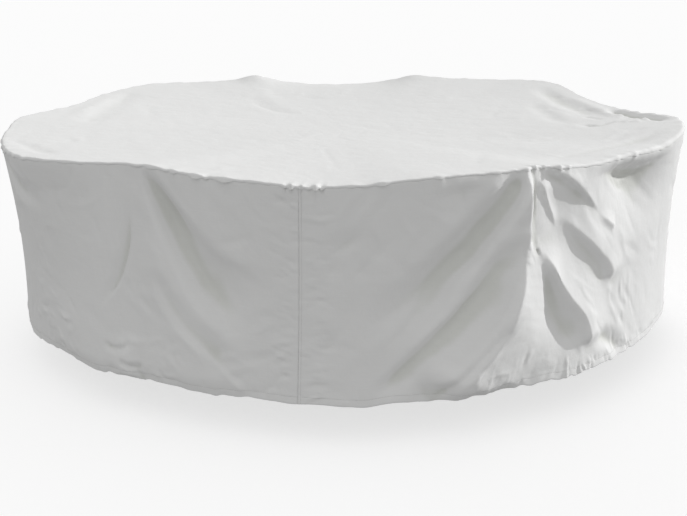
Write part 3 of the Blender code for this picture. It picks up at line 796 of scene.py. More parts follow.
    def skirt(self, along: np.ndarray, share: np.ndarray) -> np.ndarray:
        """Points on the skirt's outer face.

        Args:
            along: Metres along the rim.
            share: Shares of the drop, from 0 at the rim seam to 1 at the hem.

        Returns:
            One point for each pair.
        """
        places = self.signed(along)
        upper = self.rim(along) - self.upright(self.roll(along) + self.seam_drop)
        points = upper + (self.hem(along) - upper) * share[:, None]
        depth = share * self.drop
        pucker = self.gathers.at(places) * np.exp(-depth / self.gather_fade)
        rise = self.skirt_relief.at(np.stack([places, depth], axis=1))
        hold = self.rim_share + (1.0 - self.rim_share) * smooth(depth / self.rim_hold)
        stand = rise * hold - self.waist * np.sin(np.pi * share)
        stand = stand + pucker
        jag = self.hem_gathers.at(places) * smooth((depth - self.drop) / self.hem_reach + 1.0)
        jag = jag - self.seam_jag * np.abs(pucker)
        return points + self.outward(along) * stand[:, None] + self.upright(jag)

    @staticmethod
    def upright(amount: np.ndarray) -> np.ndarray:
        """Upright vectors of those lengths."""
        return np.stack([0.0 * amount, 0.0 * amount, amount], axis=1)

    def roll(self, along: np.ndarray) -> np.ndarray:
        """Radius of the top panel's turned edge."""
        return self.closed_curve(self.rolls, along)[:, 0]

    def seam_depth(self, along: np.ndarray) -> np.ndarray:
        """From the top of the rim down to its seam, further where it is puckered."""
        pucker = np.abs(self.gathers.at(self.signed(along)))
        return self.roll(along) + self.seam_drop + self.seam_jag * pucker

    def edge_flare(self, along: np.ndarray) -> np.ndarray:
        """How far the top panel's sewn edge stands out over the skirt."""
        return self.flare * np.abs(self.gathers.at(self.signed(along)))

    def rim_stand(self, along: np.ndarray) -> np.ndarray:
        """How far the rim stands out, with the folds that reach it and its own puckers.

        Args:
            along: Metres along the rim.

        Returns:
            The stand-out in metres.
        """
        places = self.signed(along)
        rise = self.skirt_relief.at(np.stack([places, 0.0 * places], axis=1))
        return rise * self.rim_share + self.gathers.at(places)

    def top(self, along: np.ndarray, share: np.ndarray) -> np.ndarray:
        """Points on the top panel's outer face.

        Args:
            along: Metres along the rim.
            share: Shares of the way from the middle to the rim's turned edge.

        Returns:
            One point for each pair.
        """
        edge = self.rim(along)
        outward = self.outward(along)
        points = (edge - outward * self.roll(along)[:, None]) * share[:, None]
        peak = self.peak(along)
        points[:, 2] = self.cloth + (edge[:, 2] - peak - self.cloth) * share**self.sag_power
        points[:, 2] += peak * share**self.peak_power
        rise = self.top_relief.at(points[:, :2].copy())
        depth = (1.0 - share) * np.linalg.norm(edge[:, :2], axis=1)
        points += outward * (self.rim_stand(along) * smooth(1.0 - depth / self.rim_give))[:, None]
        points[:, 2] += rise * smooth((1.0 - share) * self.rim_fade)
        points[:, 2] += self.gathers.at(self.signed(along)) * np.exp(-depth / self.gather_fade)
        return points

    def rolled_edge(self, along: np.ndarray, turn: float) -> np.ndarray:
        """Points on the top panel's turned edge.

        Args:
            along: Metres along the rim.
            turn: 0 at the top of the roll and 1 at its outermost line.

        Returns:
            One point for each place.
        """
        angle = math.pi / 2 * turn
        pucker = self.gathers.at(self.signed(along))
        stand = self.rim_stand(along) - self.roll(along) * (1.0 - math.sin(angle))
        stand = stand + self.edge_flare(along) * turn / 2
        fall = self.roll(along) * (1.0 - math.cos(angle)) - pucker * math.cos(angle)
        return self.rim(along) + self.outward(along) * stand[:, None] - self.upright(fall)


# ---------------------------------------------------------------- finish


class Signal:
    """A number in a shader graph; arithmetic on it adds Math nodes."""

    def __init__(self, graph: Graph, socket: bpy.types.NodeSocket) -> None:
        """Wraps an output socket."""
        self.graph = graph
        self.socket = socket

    def __add__(self, other: Signal | float) -> Signal:
        """Sum."""
        return self.graph.math("ADD", self, other)

    def __sub__(self, other: Signal | float) -> Signal:
        """Difference."""
        return self.graph.math("SUBTRACT", self, other)

    def __rsub__(self, other: float) -> Signal:
        """Difference from a plain number."""
        return self.graph.math("SUBTRACT", other, self)

    def __mul__(self, other: Signal | float) -> Signal:
        """Product."""
        return self.graph.math("MULTIPLY", self, other)

    __radd__ = __add__
    __rmul__ = __mul__

    def sine(self) -> Signal:
        """Sine of the number in radians."""
        return self.graph.math("SINE", self)

    def step(self, low: float, high: float) -> Signal:
        """Soft step from 0 at one number to 1 at another.

        Args:
            low: Where it is 0; it may be the larger one.
            high: Where it is 1.

        Returns:
            The step.
        """
        settings = {"interpolation_type": "SMOOTHSTEP"}
        start, end = (low, high) if low < high else (high, low)
        inputs = {"Value": self, "From Min": start, "From Max": end}
        made = self.graph.node("ShaderNodeMapRange", settings, inputs)
        rising = Signal(self.graph, made.outputs["Result"])
        return rising if low < high else 1.0 - rising


@dataclass(frozen=True)
class Noise:
    """Settings of one layer of noise.

    Attributes:
        scale: How many features there are to a metre.
        detail: How many finer layers it has.
        roughness: How strong each finer layer is.
    """

    scale: float
    detail: float
    roughness: float = 0.5


class Graph:
    """Node tree of a material, of the surroundings or of a modifier.

    A Mix node's colour sockets have the names of its other sockets, so they go by number.
    """

    MIX_FACTOR, MIX_FIRST, MIX_SECOND = 0, 6, 7
    MIX_RESULT = 2

    def __init__(self, tree: bpy.types.NodeTree) -> None:
        """Empties the tree."""
        self.tree = tree
        self.tree.nodes.clear()

    def node(self, kind: str, settings: dict | None = None,
             inputs: dict | None = None) -> bpy.types.Node:
        """Adds any node.

        Args:
            kind: Blender's name for the node type.
            settings: The node's own settings, which are set first.
            inputs: Values or links of its sockets, by name or number.

        Returns:
            The node.
        """
        made = self.tree.nodes.new(kind)
        for key, value in (settings or {}).items():
            setattr(made, key, value)
        for key, value in (inputs or {}).items():
            source = getattr(value, "socket", value)
            if isinstance(source, bpy.types.NodeSocket):
                self.tree.links.new(source, made.inputs[key])
            else:
                made.inputs[key].default_value = source
        return made

    def math(self, operation: str, first: Signal | float, second: Signal | float = 0.0) -> Signal:
        """Adds a Math node and returns its number."""
        made = self.node("ShaderNodeMath", {"operation": operation}, {0: first, 1: second})
        return Signal(self, made.outputs["Value"])

    def stretched(self, vector: bpy.types.NodeSocket,
                  scale: tuple[float, float, float]) -> bpy.types.NodeSocket:
        """Scales coordinates differently along each axis and returns them."""
        made = self.node("ShaderNodeMapping", None, {"Vector": vector, "Scale": scale})
        return made.outputs["Vector"]

    def noise(self, vector: bpy.types.NodeSocket, layer: Noise) -> Signal:
        """Adds smooth noise about 0.5.

        Args:
            vector: The coordinates it reads.
            layer: Its settings.

        Returns:
            Its number.
        """
        inputs = {
            "Vector": vector,
            "Scale": layer.scale,
            "Detail": layer.detail,
            "Roughness": layer.roughness,
        }
        return Signal(self, self.node("ShaderNodeTexNoise", None, inputs).outputs["Fac"])

    def mix(self, factor: Signal, first: object, second: object) -> bpy.types.NodeSocket:
        """Mixes two colours, each a socket or four numbers.

        Args:
            factor: How much of the second one is taken.
            first: The first colour.
            second: The second colour.

        Returns:
            The colour.
        """
        inputs = {self.MIX_FACTOR: factor, self.MIX_FIRST: first, self.MIX_SECOND: second}
        return self.node("ShaderNodeMix", {"data_type": "RGBA"}, inputs).outputs[self.MIX_RESULT]

    def surface(self, inputs: dict) -> None:
        """Ends a material with a Principled shader that has those inputs."""
        shader = self.node("ShaderNodeBsdfPrincipled", None, inputs)
        self.node("ShaderNodeOutputMaterial", None, {"Surface": shader.outputs["BSDF"]})


def new_material(name: str) -> tuple[bpy.types.Material, Graph]:
    """Makes a material.

    Args:
        name: The material's name.

    Returns:
        The material, and its empty node tree.
    """
    material = bpy.data.materials.new(name)
    material.use_nodes = True
    return material, Graph(material.node_tree)


@dataclass(frozen=True)
class ClothFinish:
    """Coated woven polyester, light grey, matt; its troughs get painted shade and its crests a painted
    highlight.

    Attributes:
        colour: Colour of the clean cloth, linear.
        trough_shade_colour: Colour of the painted shade in the troughs.
        crest_highlight_colour: Colour of the painted highlight on the crests.
        shade_hollowness: Hollowness at which the painted shade begins, and at which it is full.
        highlight_hollowness: Hollowness at which the painted highlight begins, and at which it is full.
        shade_share: How much of the darkening towards the shade colour the hollows decide, as painted
            shade.
        blotch_share: How much of that darkening the random dust blotches decide.
        highlight_share: How much of the clean colour the full painted highlight takes away.
        roughness: Middle roughness.
        roughness_swing: How far the blotches move it, from one end to the other.
        gloss: Strength of the coating's reflection.
        sheen: Strength of the fibres' sheen.
        sheen_roughness: Its roughness.
        thread: Distance between two threads.
        thread_depth: Height of the weave.
        crinkle_depth: Height of the finest crinkles.
        slub_depth: Height of the uneven weft yarns.
        bump: Strength of all of these together.
        cloud: Broad, faint changes of tone.
        blotch: Blotches of dust and of roughness.
        grain: Fine grain of the coating.
        crinkle: The finest crinkles.
        slub: The uneven weft yarns.
        slub_stretch: How the slubs' flat map is stretched: long along the rim, fine down it.
        tone: Brightness where all the layers are at 0.
        cloud_tone: How far the clouds brighten it.
        grain_tone: How far the grain does.
        slub_tone: How far the slubs do.
        weave_tone: How far the weave does.
    """

    colour: tuple[float, float, float] = (0.740, 0.741, 0.735)
    trough_shade_colour: tuple[float, float, float] = (0.645, 0.652, 0.620)
    crest_highlight_colour: tuple[float, float, float] = (0.785, 0.785, 0.780)
    shade_hollowness: tuple[float, float] = (0.50, 0.95)
    highlight_hollowness: tuple[float, float] = (0.40, 0.05)
    shade_share: float = 0.75
    blotch_share: float = 0.25
    highlight_share: float = 0.5
    roughness: float = 0.80
    roughness_swing: float = 0.12
    gloss: float = 0.35
    sheen: float = 0.08
    sheen_roughness: float = 0.5
    thread: float = 0.0012
    thread_depth: float = 0.00006
    crinkle_depth: float = 0.0040
    slub_depth: float = 0.00025
    bump: float = 0.8
    cloud: Noise = Noise(3.2, 4.0, 0.55)
    blotch: Noise = Noise(17.0, 5.0, 0.6)
    grain: Noise = Noise(900.0, 2.0)
    crinkle: Noise = Noise(14.0, 6.0, 0.52)
    slub: Noise = Noise(1.0, 3.0, 0.6)
    slub_stretch: tuple[float, float, float] = (6.0, 260.0, 1.0)
    tone: float = 0.945
    cloud_tone: float = 0.05
    grain_tone: float = 0.02
    slub_tone: float = 0.04
    weave_tone: float = 0.008

    def build(self, name: str) -> bpy.types.Material:
        """Makes the material.

        Args:
            name: The material's name.

        Returns:
            The material.
        """
        material, graph = new_material(name)
        spot = graph.node("ShaderNodeUVMap", {"uv_map": UV_NAME}).outputs["UV"]
        place = graph.node("ShaderNodeTexCoord").outputs["Object"]
        attribute = graph.node("ShaderNodeAttribute", {"attribute_name": HOLLOW})
        hollow = Signal(graph, attribute.outputs["Fac"])
        parts = graph.node("ShaderNodeSeparateXYZ", None, {"Vector": spot})
        across, down = Signal(graph, parts.outputs["X"]), Signal(graph, parts.outputs["Y"])
        weave = (across * (math.pi / self.thread)).sine() * (down * (math.pi / self.thread)).sine()
        blotch = graph.noise(place, self.blotch)
        crinkle = graph.noise(place, self.crinkle)
        slub = graph.noise(graph.stretched(spot, self.slub_stretch), self.slub)
        # Painted shade: the troughs darken and turn greener by their hollowness, with random dust
        # blotches mixed in.
        shade_and_dust = hollow.step(*self.shade_hollowness) * self.shade_share + (blotch - 0.5) * self.blotch_share
        # Painted highlight: the crests turn lighter by their hollowness.
        crest_highlight = hollow.step(*self.highlight_hollowness) * self.highlight_share
        base = graph.mix(shade_and_dust.step(0.0, 1.0), (*self.colour, 1.0), (*self.trough_shade_colour, 1.0))
        base = graph.mix(crest_highlight, base, (*self.crest_highlight_colour, 1.0))
        tone = self.tone + graph.noise(place, self.cloud) * self.cloud_tone
        tone = tone + graph.noise(spot, self.grain) * self.grain_tone
        tone = tone + slub * self.slub_tone + weave * self.weave_tone
        tint = graph.node("ShaderNodeCombineXYZ", None, {"X": tone, "Y": tone, "Z": tone})
        factors = {0: base, 1: tint.outputs["Vector"]}
        product = graph.node("ShaderNodeVectorMath", {"operation": "MULTIPLY"}, factors)
        height = weave * self.thread_depth + crinkle * self.crinkle_depth + slub * self.slub_depth
        relief = {"Strength": self.bump, "Distance": 1.0, "Height": height}
        lowest = self.roughness - self.roughness_swing / 2
        graph.surface({
            "Base Color": product.outputs["Vector"],
            "Roughness": lowest + blotch * self.roughness_swing,
            "Normal": graph.node("ShaderNodeBump", None, relief).outputs["Normal"],
            "Specular IOR Level": self.gloss,
            "Sheen Weight": self.sheen,
            "Sheen Roughness": self.sheen_roughness,
        })
        return material


@dataclass(frozen=True)
class ThreadFinish:
    """Bonded polyester sewing thread.

    Attributes:
        colour: Colour of its brightest fibres, linear.
        shade: Brightness of the darkest ones, as a share of that.
        roughness: Middle roughness.
        roughness_swing: How far the fibres move it, from one end to the other.
        fibre: The fibres' pattern.
    """

    colour: tuple[float, float, float] = (0.50, 0.50, 0.485)
    shade: float = 0.8
    roughness: float = 0.55
    roughness_swing: float = 0.1
    fibre: Noise = Noise(1500.0, 2.0)

    def build(self, name: str) -> bpy.types.Material:
        """Makes the material.

        Args:
            name: The material's name.

        Returns:
            The material.
        """
        material, graph = new_material(name)
        fibre = graph.noise(graph.node("ShaderNodeTexCoord").outputs["Object"], self.fibre)
        dark = tuple(part * self.shade for part in self.colour)
        lowest = self.roughness - self.roughness_swing / 2
        graph.surface({
            "Base Color": graph.mix(fibre, (*dark, 1.0), (*self.colour, 1.0)),
            "Roughness": lowest + fibre * self.roughness_swing,
        })
        return material


# ---------------------------------------------------------------- cloth panels


class Half(Enum):
    """Which half of the skirt a panel is: the sign of its places along the rim."""

    LEFT = -1
    RIGHT = 1


@dataclass(frozen=True)
class Zone:
    """How close together a panel's columns stand on one stretch of the rim.

    Attributes:
        reach: Where the stretch ends, in metres from the front seam.
        spacing: Distance between two columns.
    """

    reach: float
    spacing: float


def add_object(name: str, data: bpy.types.ID) -> bpy.types.Object:
    """Adds an object to the scene.

    Args:
        name: Its name.
        data: Its mesh, light or camera.

    Returns:
        The object, at the origin.
    """
    made = bpy.data.objects.new(name, data)
    bpy.context.scene.collection.objects.link(made)
    return made


def add_piece(name: str, points: np.ndarray, faces: list[tuple[int, ...]], spots: np.ndarray,
              hollow: np.ndarray) -> bpy.types.Object:
    """Adds a cloth mesh with its own flat map and its hollows.

    Args:
        name: Name of the piece.
        points: Its points in metres.
        faces: Its faces, as rows of point numbers.
        spots: Each point's spot on the flat cloth, in metres.
        hollow: Each point's hollowness, from 0 on a crest to 1 in a trough.

    Returns:
        The object, at the origin.
    """
    mesh = bpy.data.meshes.new(name)
    mesh.from_pydata(points.tolist(), [], faces)
    mesh.shade_smooth()
    corner = np.zeros(len(mesh.loops), np.int32)
    mesh.loops.foreach_get("vertex_index", corner)
    layer = mesh.uv_layers.new(name=UV_NAME)
    layer.data.foreach_set("uv", spots[corner].astype(np.float32).ravel())
    attribute = mesh.attributes.new(HOLLOW, "FLOAT", "POINT")
    attribute.data.foreach_set("value", hollow.astype(np.float32))
    return add_object(name, mesh)


def add_wall(piece: bpy.types.Object, thickness: float) -> None:
    """Gives a cloth mesh its thickness, inwards.

    Args:
        piece: The sheet, which has none yet.
        thickness: Thickness of the cloth.
    """
    wall = piece.modifiers.new("thickness", "SOLIDIFY")
    wall.thickness = thickness
    wall.offset = -1.0


def grid_faces(rows: int, columns: int, closed: bool, first: int = 0) -> list[tuple[int, ...]]:
    """Faces between rows of points.

    Args:
        rows: Number of rows.
        columns: Number of points in a row.
        closed: Whether a row runs round to its start.
        first: Number of the first point.

    Returns:
        The faces, with their outer side to the front.
    """
    faces = []
    for row in range(rows - 1):
        upper = first + row * columns
        lower = upper + columns
        for i in range(columns if closed else columns - 1):
            j = (i + 1) % columns
            faces.append((upper + i, lower + i, lower + j, upper + j))
    return faces


@dataclass
class ClothPanel:
    """What every panel of the cover has: a sheet of cloth that stands for one solid.

    Attributes:
        name: Name of the piece.
        node: Name of the solid that it stands for.
        drape: The surface it lies on.
        thickness: Thickness of the cloth.
        tuck: How far its edge turns in at the rim seam.
        hollow_reach: Cells to either side that make up a point's surroundings.
        hollow_depth: Depth between a full crest and a full trough.
        piece: The sheet, once it is built.
    """

    name: str
    node: str
    drape: Drape
    thickness: float = field(default=0.0011, kw_only=True)
    tuck: float = field(default=0.0007, kw_only=True)
    hollow_reach: int = field(default=9, kw_only=True)
    hollow_depth: float = field(default=0.0130, kw_only=True)
    piece: bpy.types.Object = field(init=False)

    def hollowness(self, rows: np.ndarray, outward: np.ndarray) -> np.ndarray:
        """How far each point of a grid lies under its surroundings.

        Args:
            rows: The grid's points.
            outward: Outward direction of each column, or one for all.

        Returns:
            From 0 on a crest to 1 in a trough.
        """
        depth = ((blurred(rows, self.hollow_reach) - rows) * outward).sum(axis=2)
        return np.clip(0.5 + depth / self.hollow_depth / 2, 0.0, 1.0)

    def dress(self, material: bpy.types.Material) -> None:
        """Gives the panel its finish, hangs it on the body and hides the solid it stands for.

        Args:
            material: The cloth's material.
        """
        self.piece.data.materials.append(material)
        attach(self.piece, BODY)
        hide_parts(self.node)


@dataclass
class SkirtPanel(ClothPanel):
    """One half of the skirt, from the front seam to the back seam, with its turned hem.

    Attributes:
        half: Which half.
        zones: Its columns' spacing.
        row: Distance between its rows.
        rim_rows: Depths of the closer rows under the rim seam.
        first_row: Depth of the first of the even rows.
        last_row: How far above the top of the hem the last of them is.
        hem_rows: Depths under the top of the hem of the closer rows there; the last is the hem.
        lap: How far it runs over or under its neighbour at a seam.
        lap_column: Where the column inside the lap stands, as a share of the lap.
        lap_lift: How far the upper lap stands out, and the lower one lies in.
        tuck_depth: Depth over which its top edge turns in.
        hem_height: Height of the turned hem.
        hem_radius: Radius of the turn at the hem.
        hem_turns: Rows round that turn.
        hem_back_rows: Heights of the rows of cloth behind the hem; one more ends it.
        hem_back_end: How far under the top of the hem it ends.
        hem_hollow: Hollowness given to the cloth behind the hem, which gives it a little painted shade.
        groove: Depth of the groove that the hem's stitches draw.
        groove_width: Half its width.
    """

    half: Half
    zones: tuple[Zone, ...]
    row: float = 0.0075
    rim_rows: tuple[float, ...] = (0.0, 0.0015, 0.0035, 0.006)
    first_row: float = 0.010
    last_row: float = 0.004
    hem_rows: tuple[float, ...] = (-0.002, 0.0, 0.002, 0.006, 0.012, 0.018)
    lap: float = 0.006
    lap_column: float = 0.4
    lap_lift: float = 0.0008
    tuck_depth: float = 0.005
    hem_height: float = 0.024
    hem_radius: float = 0.0020
    hem_turns: int = 4
    hem_back_rows: tuple[float, ...] = (0.006, 0.012, 0.018)
    hem_back_end: float = 0.001
    hem_hollow: float = 0.6
    groove: float = 0.0004
    groove_width: float = 0.004

    def columns(self) -> np.ndarray:
        """Places of the panel's columns along the rim.

        Returns:
            The places, from one seam's lap to the other's, left to right.
        """
        inside = self.lap * self.lap_column
        marks = [-self.lap, -inside, 0.0]
        for zone in self.zones:
            steps = round((zone.reach - marks[-1]) / zone.spacing)
            marks.extend(np.linspace(marks[-1], zone.reach, steps + 1)[1:])
        marks.extend([marks[-1] + inside, marks[-1] + self.lap])
        along = np.array(marks)
        return along if self.half is Half.RIGHT else -along[::-1]

    def seam_lift(self, along: np.ndarray) -> np.ndarray:
        """How far the panel stands out beside its two seams, where one half laps the other.

        Args:
            along: Places along the rim.

        Returns:
            The stand-out in metres, minus where it lies under the other half.
        """
        at_front = smooth(1.0 - (np.abs(along) - self.lap) / self.lap)
        at_back = smooth(1.0 - (self.drape.round / 2 - np.abs(along) - self.lap) / self.lap)
        return self.lap_lift * self.half.value * (at_front - at_back)

    def build(self) -> bpy.types.Object:
        """Builds the panel.

        Returns:
            The piece.
        """
        along = self.columns()
        drop = self.drape.drop
        hem_line = drop - self.hem_height
        middle = np.linspace(self.first_row, hem_line - self.last_row, round(hem_line / self.row))
        lower = hem_line + np.array([*self.hem_rows, self.hem_height])
        depths = np.concatenate([self.rim_rows, middle, lower])
        outward = self.drape.outward(along)
        lift = self.seam_lift(along)
        rows = []
        for depth in depths:
            points = self.drape.skirt(along, np.full(len(along), depth / drop))
            tucked = self.tuck * (1.0 - smooth(depth / self.tuck_depth))
            grooved = self.groove * (1.0 - smooth(abs(depth - hem_line) / self.groove_width))
            rows.append(points + outward * (lift - tucked - grooved)[:, None])
        sheet = np.array(rows)
        hollow = self.hollowness(sheet, outward)
        turned = self.turned_hem(sheet[-1], along, outward, lift)
        sheet = np.concatenate([sheet, turned])
        # The cloth behind the hem gets a fixed hollowness, and with it a little painted shade.
        hollow = np.concatenate([hollow, np.full((len(turned), len(along)), self.hem_hollow)])
        past = np.linspace(drop, drop + self.hem_height, len(turned) + 1)[1:]
        spots = np.stack(np.meshgrid(along, np.concatenate([depths, past])), axis=2)
        faces = grid_faces(len(sheet), len(along), closed=False)
        points, flat = sheet.reshape(-1, 3), spots.reshape(-1, 2)
        self.piece = add_piece(self.name, points, faces, flat, hollow.ravel())
        add_wall(self.piece, self.thickness)
        return self.piece

    def turned_hem(self, edge: np.ndarray, along: np.ndarray, outward: np.ndarray,
                   lift: np.ndarray) -> np.ndarray:
        """Rows of the hem's turn and of the cloth that goes up behind it.

        Args:
            edge: The panel's lowest row.
            along: Places along the rim.
            outward: Outward unit vectors there.
            lift: How far the panel stands out beside its seams.

        Returns:
            The rows, from the edge on.
        """
        rows = []
        for turn in range(1, self.hem_turns + 1):
            angle = math.pi * turn / self.hem_turns
            inward = self.hem_radius * (1.0 - math.cos(angle))
            down = self.hem_radius * math.sin(angle)
            rows.append(edge - outward * inward - np.array([0.0, 0.0, down]))
        behind = 2 * self.hem_radius
        for height in (*self.hem_back_rows, self.hem_height - self.hem_back_end):
            share = np.full(len(along), 1.0 - height / self.drape.drop)
            points = self.drape.skirt(along, share)
            rows.append(points + outward * (lift - behind)[:, None])
        return np.array(rows)


@dataclass
class TopPanel(ClothPanel):
    """The oval top with its turned, puckered edge.

    Attributes:
        corners: Places along the rim, on the left and on the right, between which its columns
            stand closer.
        counts: How many columns there are at the front and at the back; both halve twice.
        rings: Groups of rings, middle first: the first share of the way out, the last one,
            and how many. A group has half the columns of the next.
        last_rings: Closer rings beside the roll.
        roll_steps: Rows over the turned edge.
        edge_shares: Rows under the roll, as shares of the way down to the seam.
        edge_gap: How far above the seam its edge ends.
    """

    corners: tuple[float, float] = (1.36, 1.50)
    counts: tuple[int, int] = (400, 360)
    rings: tuple[tuple[float, float, int], ...] = (
        (0.03, 0.34, 18),
        (0.36, 0.72, 24),
        (0.736, 0.96, 20),
    )
    last_rings: tuple[float, ...] = (0.970, 0.979, 0.987, 0.994, 1.0)
    roll_steps: int = 6
    edge_shares: tuple[float, ...] = (0.35, 0.7, 0.9, 1.0)
    edge_gap: float = 0.0003

    def columns(self) -> np.ndarray:
        """Places of the panel's columns along the whole rim.

        Returns:
            The places, anticlockwise from the left corner.
        """
        left, right = self.corners
        front = np.linspace(-left, right, self.counts[0], endpoint=False)
        back = np.linspace(right, self.drape.round - left, self.counts[1], endpoint=False)
        return np.concatenate([front, back])

    def shares(self) -> list[np.ndarray]:
        """Shares of the way out for the panel's rings, one row for each group."""
        groups = [np.linspace(*group) for group in self.rings]
        return [*groups[:-1], np.concatenate([groups[-1], self.last_rings])]

    def edge_rows(self, along: np.ndarray) -> list[np.ndarray]:
        """Rows from the top of the roll down to the tucked edge at the seam.

        Args:
            along: Places along the rim.

        Returns:
            The rows.
        """
        drape = self.drape
        outward = drape.outward(along)
        stand = drape.rim_stand(along)
        roll = drape.roll(along)
        fall = drape.seam_depth(along) - self.edge_gap - roll
        turns = [(step + 1) / self.roll_steps for step in range(self.roll_steps)]
        rows = [drape.rolled_edge(along, turn) for turn in turns]
        flare = drape.edge_flare(along)
        for share in self.edge_shares:
            offset = outward * (stand + flare * (1.0 + share) / 2 - self.tuck * share**3)[:, None]
            rows.append(drape.rim(along) + offset - drape.upright(roll + fall * share))
        return rows

    def build(self) -> bpy.types.Object:
        """Builds the panel from its middle out to its edge.

        Returns:
            The piece.
        """
        groups = []
        columns = self.columns()
        for level, shares in enumerate(self.shares()):
            skip = 2 ** (len(self.rings) - 1 - level)
            along = columns[::skip]
            rows = [self.drape.top(along, np.full(len(along), share)) for share in shares]
            if skip == 1:
                rows.extend(self.edge_rows(along))
            groups.append(np.array(rows))
        points = [np.array([[0.0, 0.0, self.drape.cloth]])]
        hollows = [np.array([0.5])]
        faces: list[tuple[int, ...]] = []
        first = 1
        before: tuple[int, int] | None = None
        for rows in groups:
            count, size = rows.shape[:2]
            hollow = self.hollowness(rows, np.array([0.0, 0.0, 1.0]))
            faces.extend(grid_faces(count, size, closed=True, first=first))
            faces.extend(self.join(before, first, size))
            points.append(rows.reshape(-1, 3))
            hollows.append(hollow.ravel())
            before = (first + (count - 1) * size, size)
            first += count * size
        every = np.vstack(points)
        self.piece = add_piece(self.name, every, faces, every[:, :2], np.concatenate(hollows))
        add_wall(self.piece, self.thickness)
        return self.piece

    @staticmethod
    def join(before: tuple[int, int] | None, first: int, size: int) -> list[tuple[int, ...]]:
        """Faces from a ring in to the ring or the middle point before it.

        Args:
            before: First point and size of the ring inside, or None at the middle.
            first: First point of this ring.
            size: Points in this ring.

        Returns:
            The faces.
        """
        if before is None:
            return [(0, first + i, first + (i + 1) % size) for i in range(size)]
        faces: list[tuple[int, ...]] = []
        start, count = before
        for i in range(count):
            inner, after = start + i, start + (i + 1) % count
            one, two, three = (first + (2 * i + k) % size for k in range(3))
            faces.extend([(inner, one, two), (inner, two, after), (after, two, three)])
        return faces


# ---------------------------------------------------------------- stitching


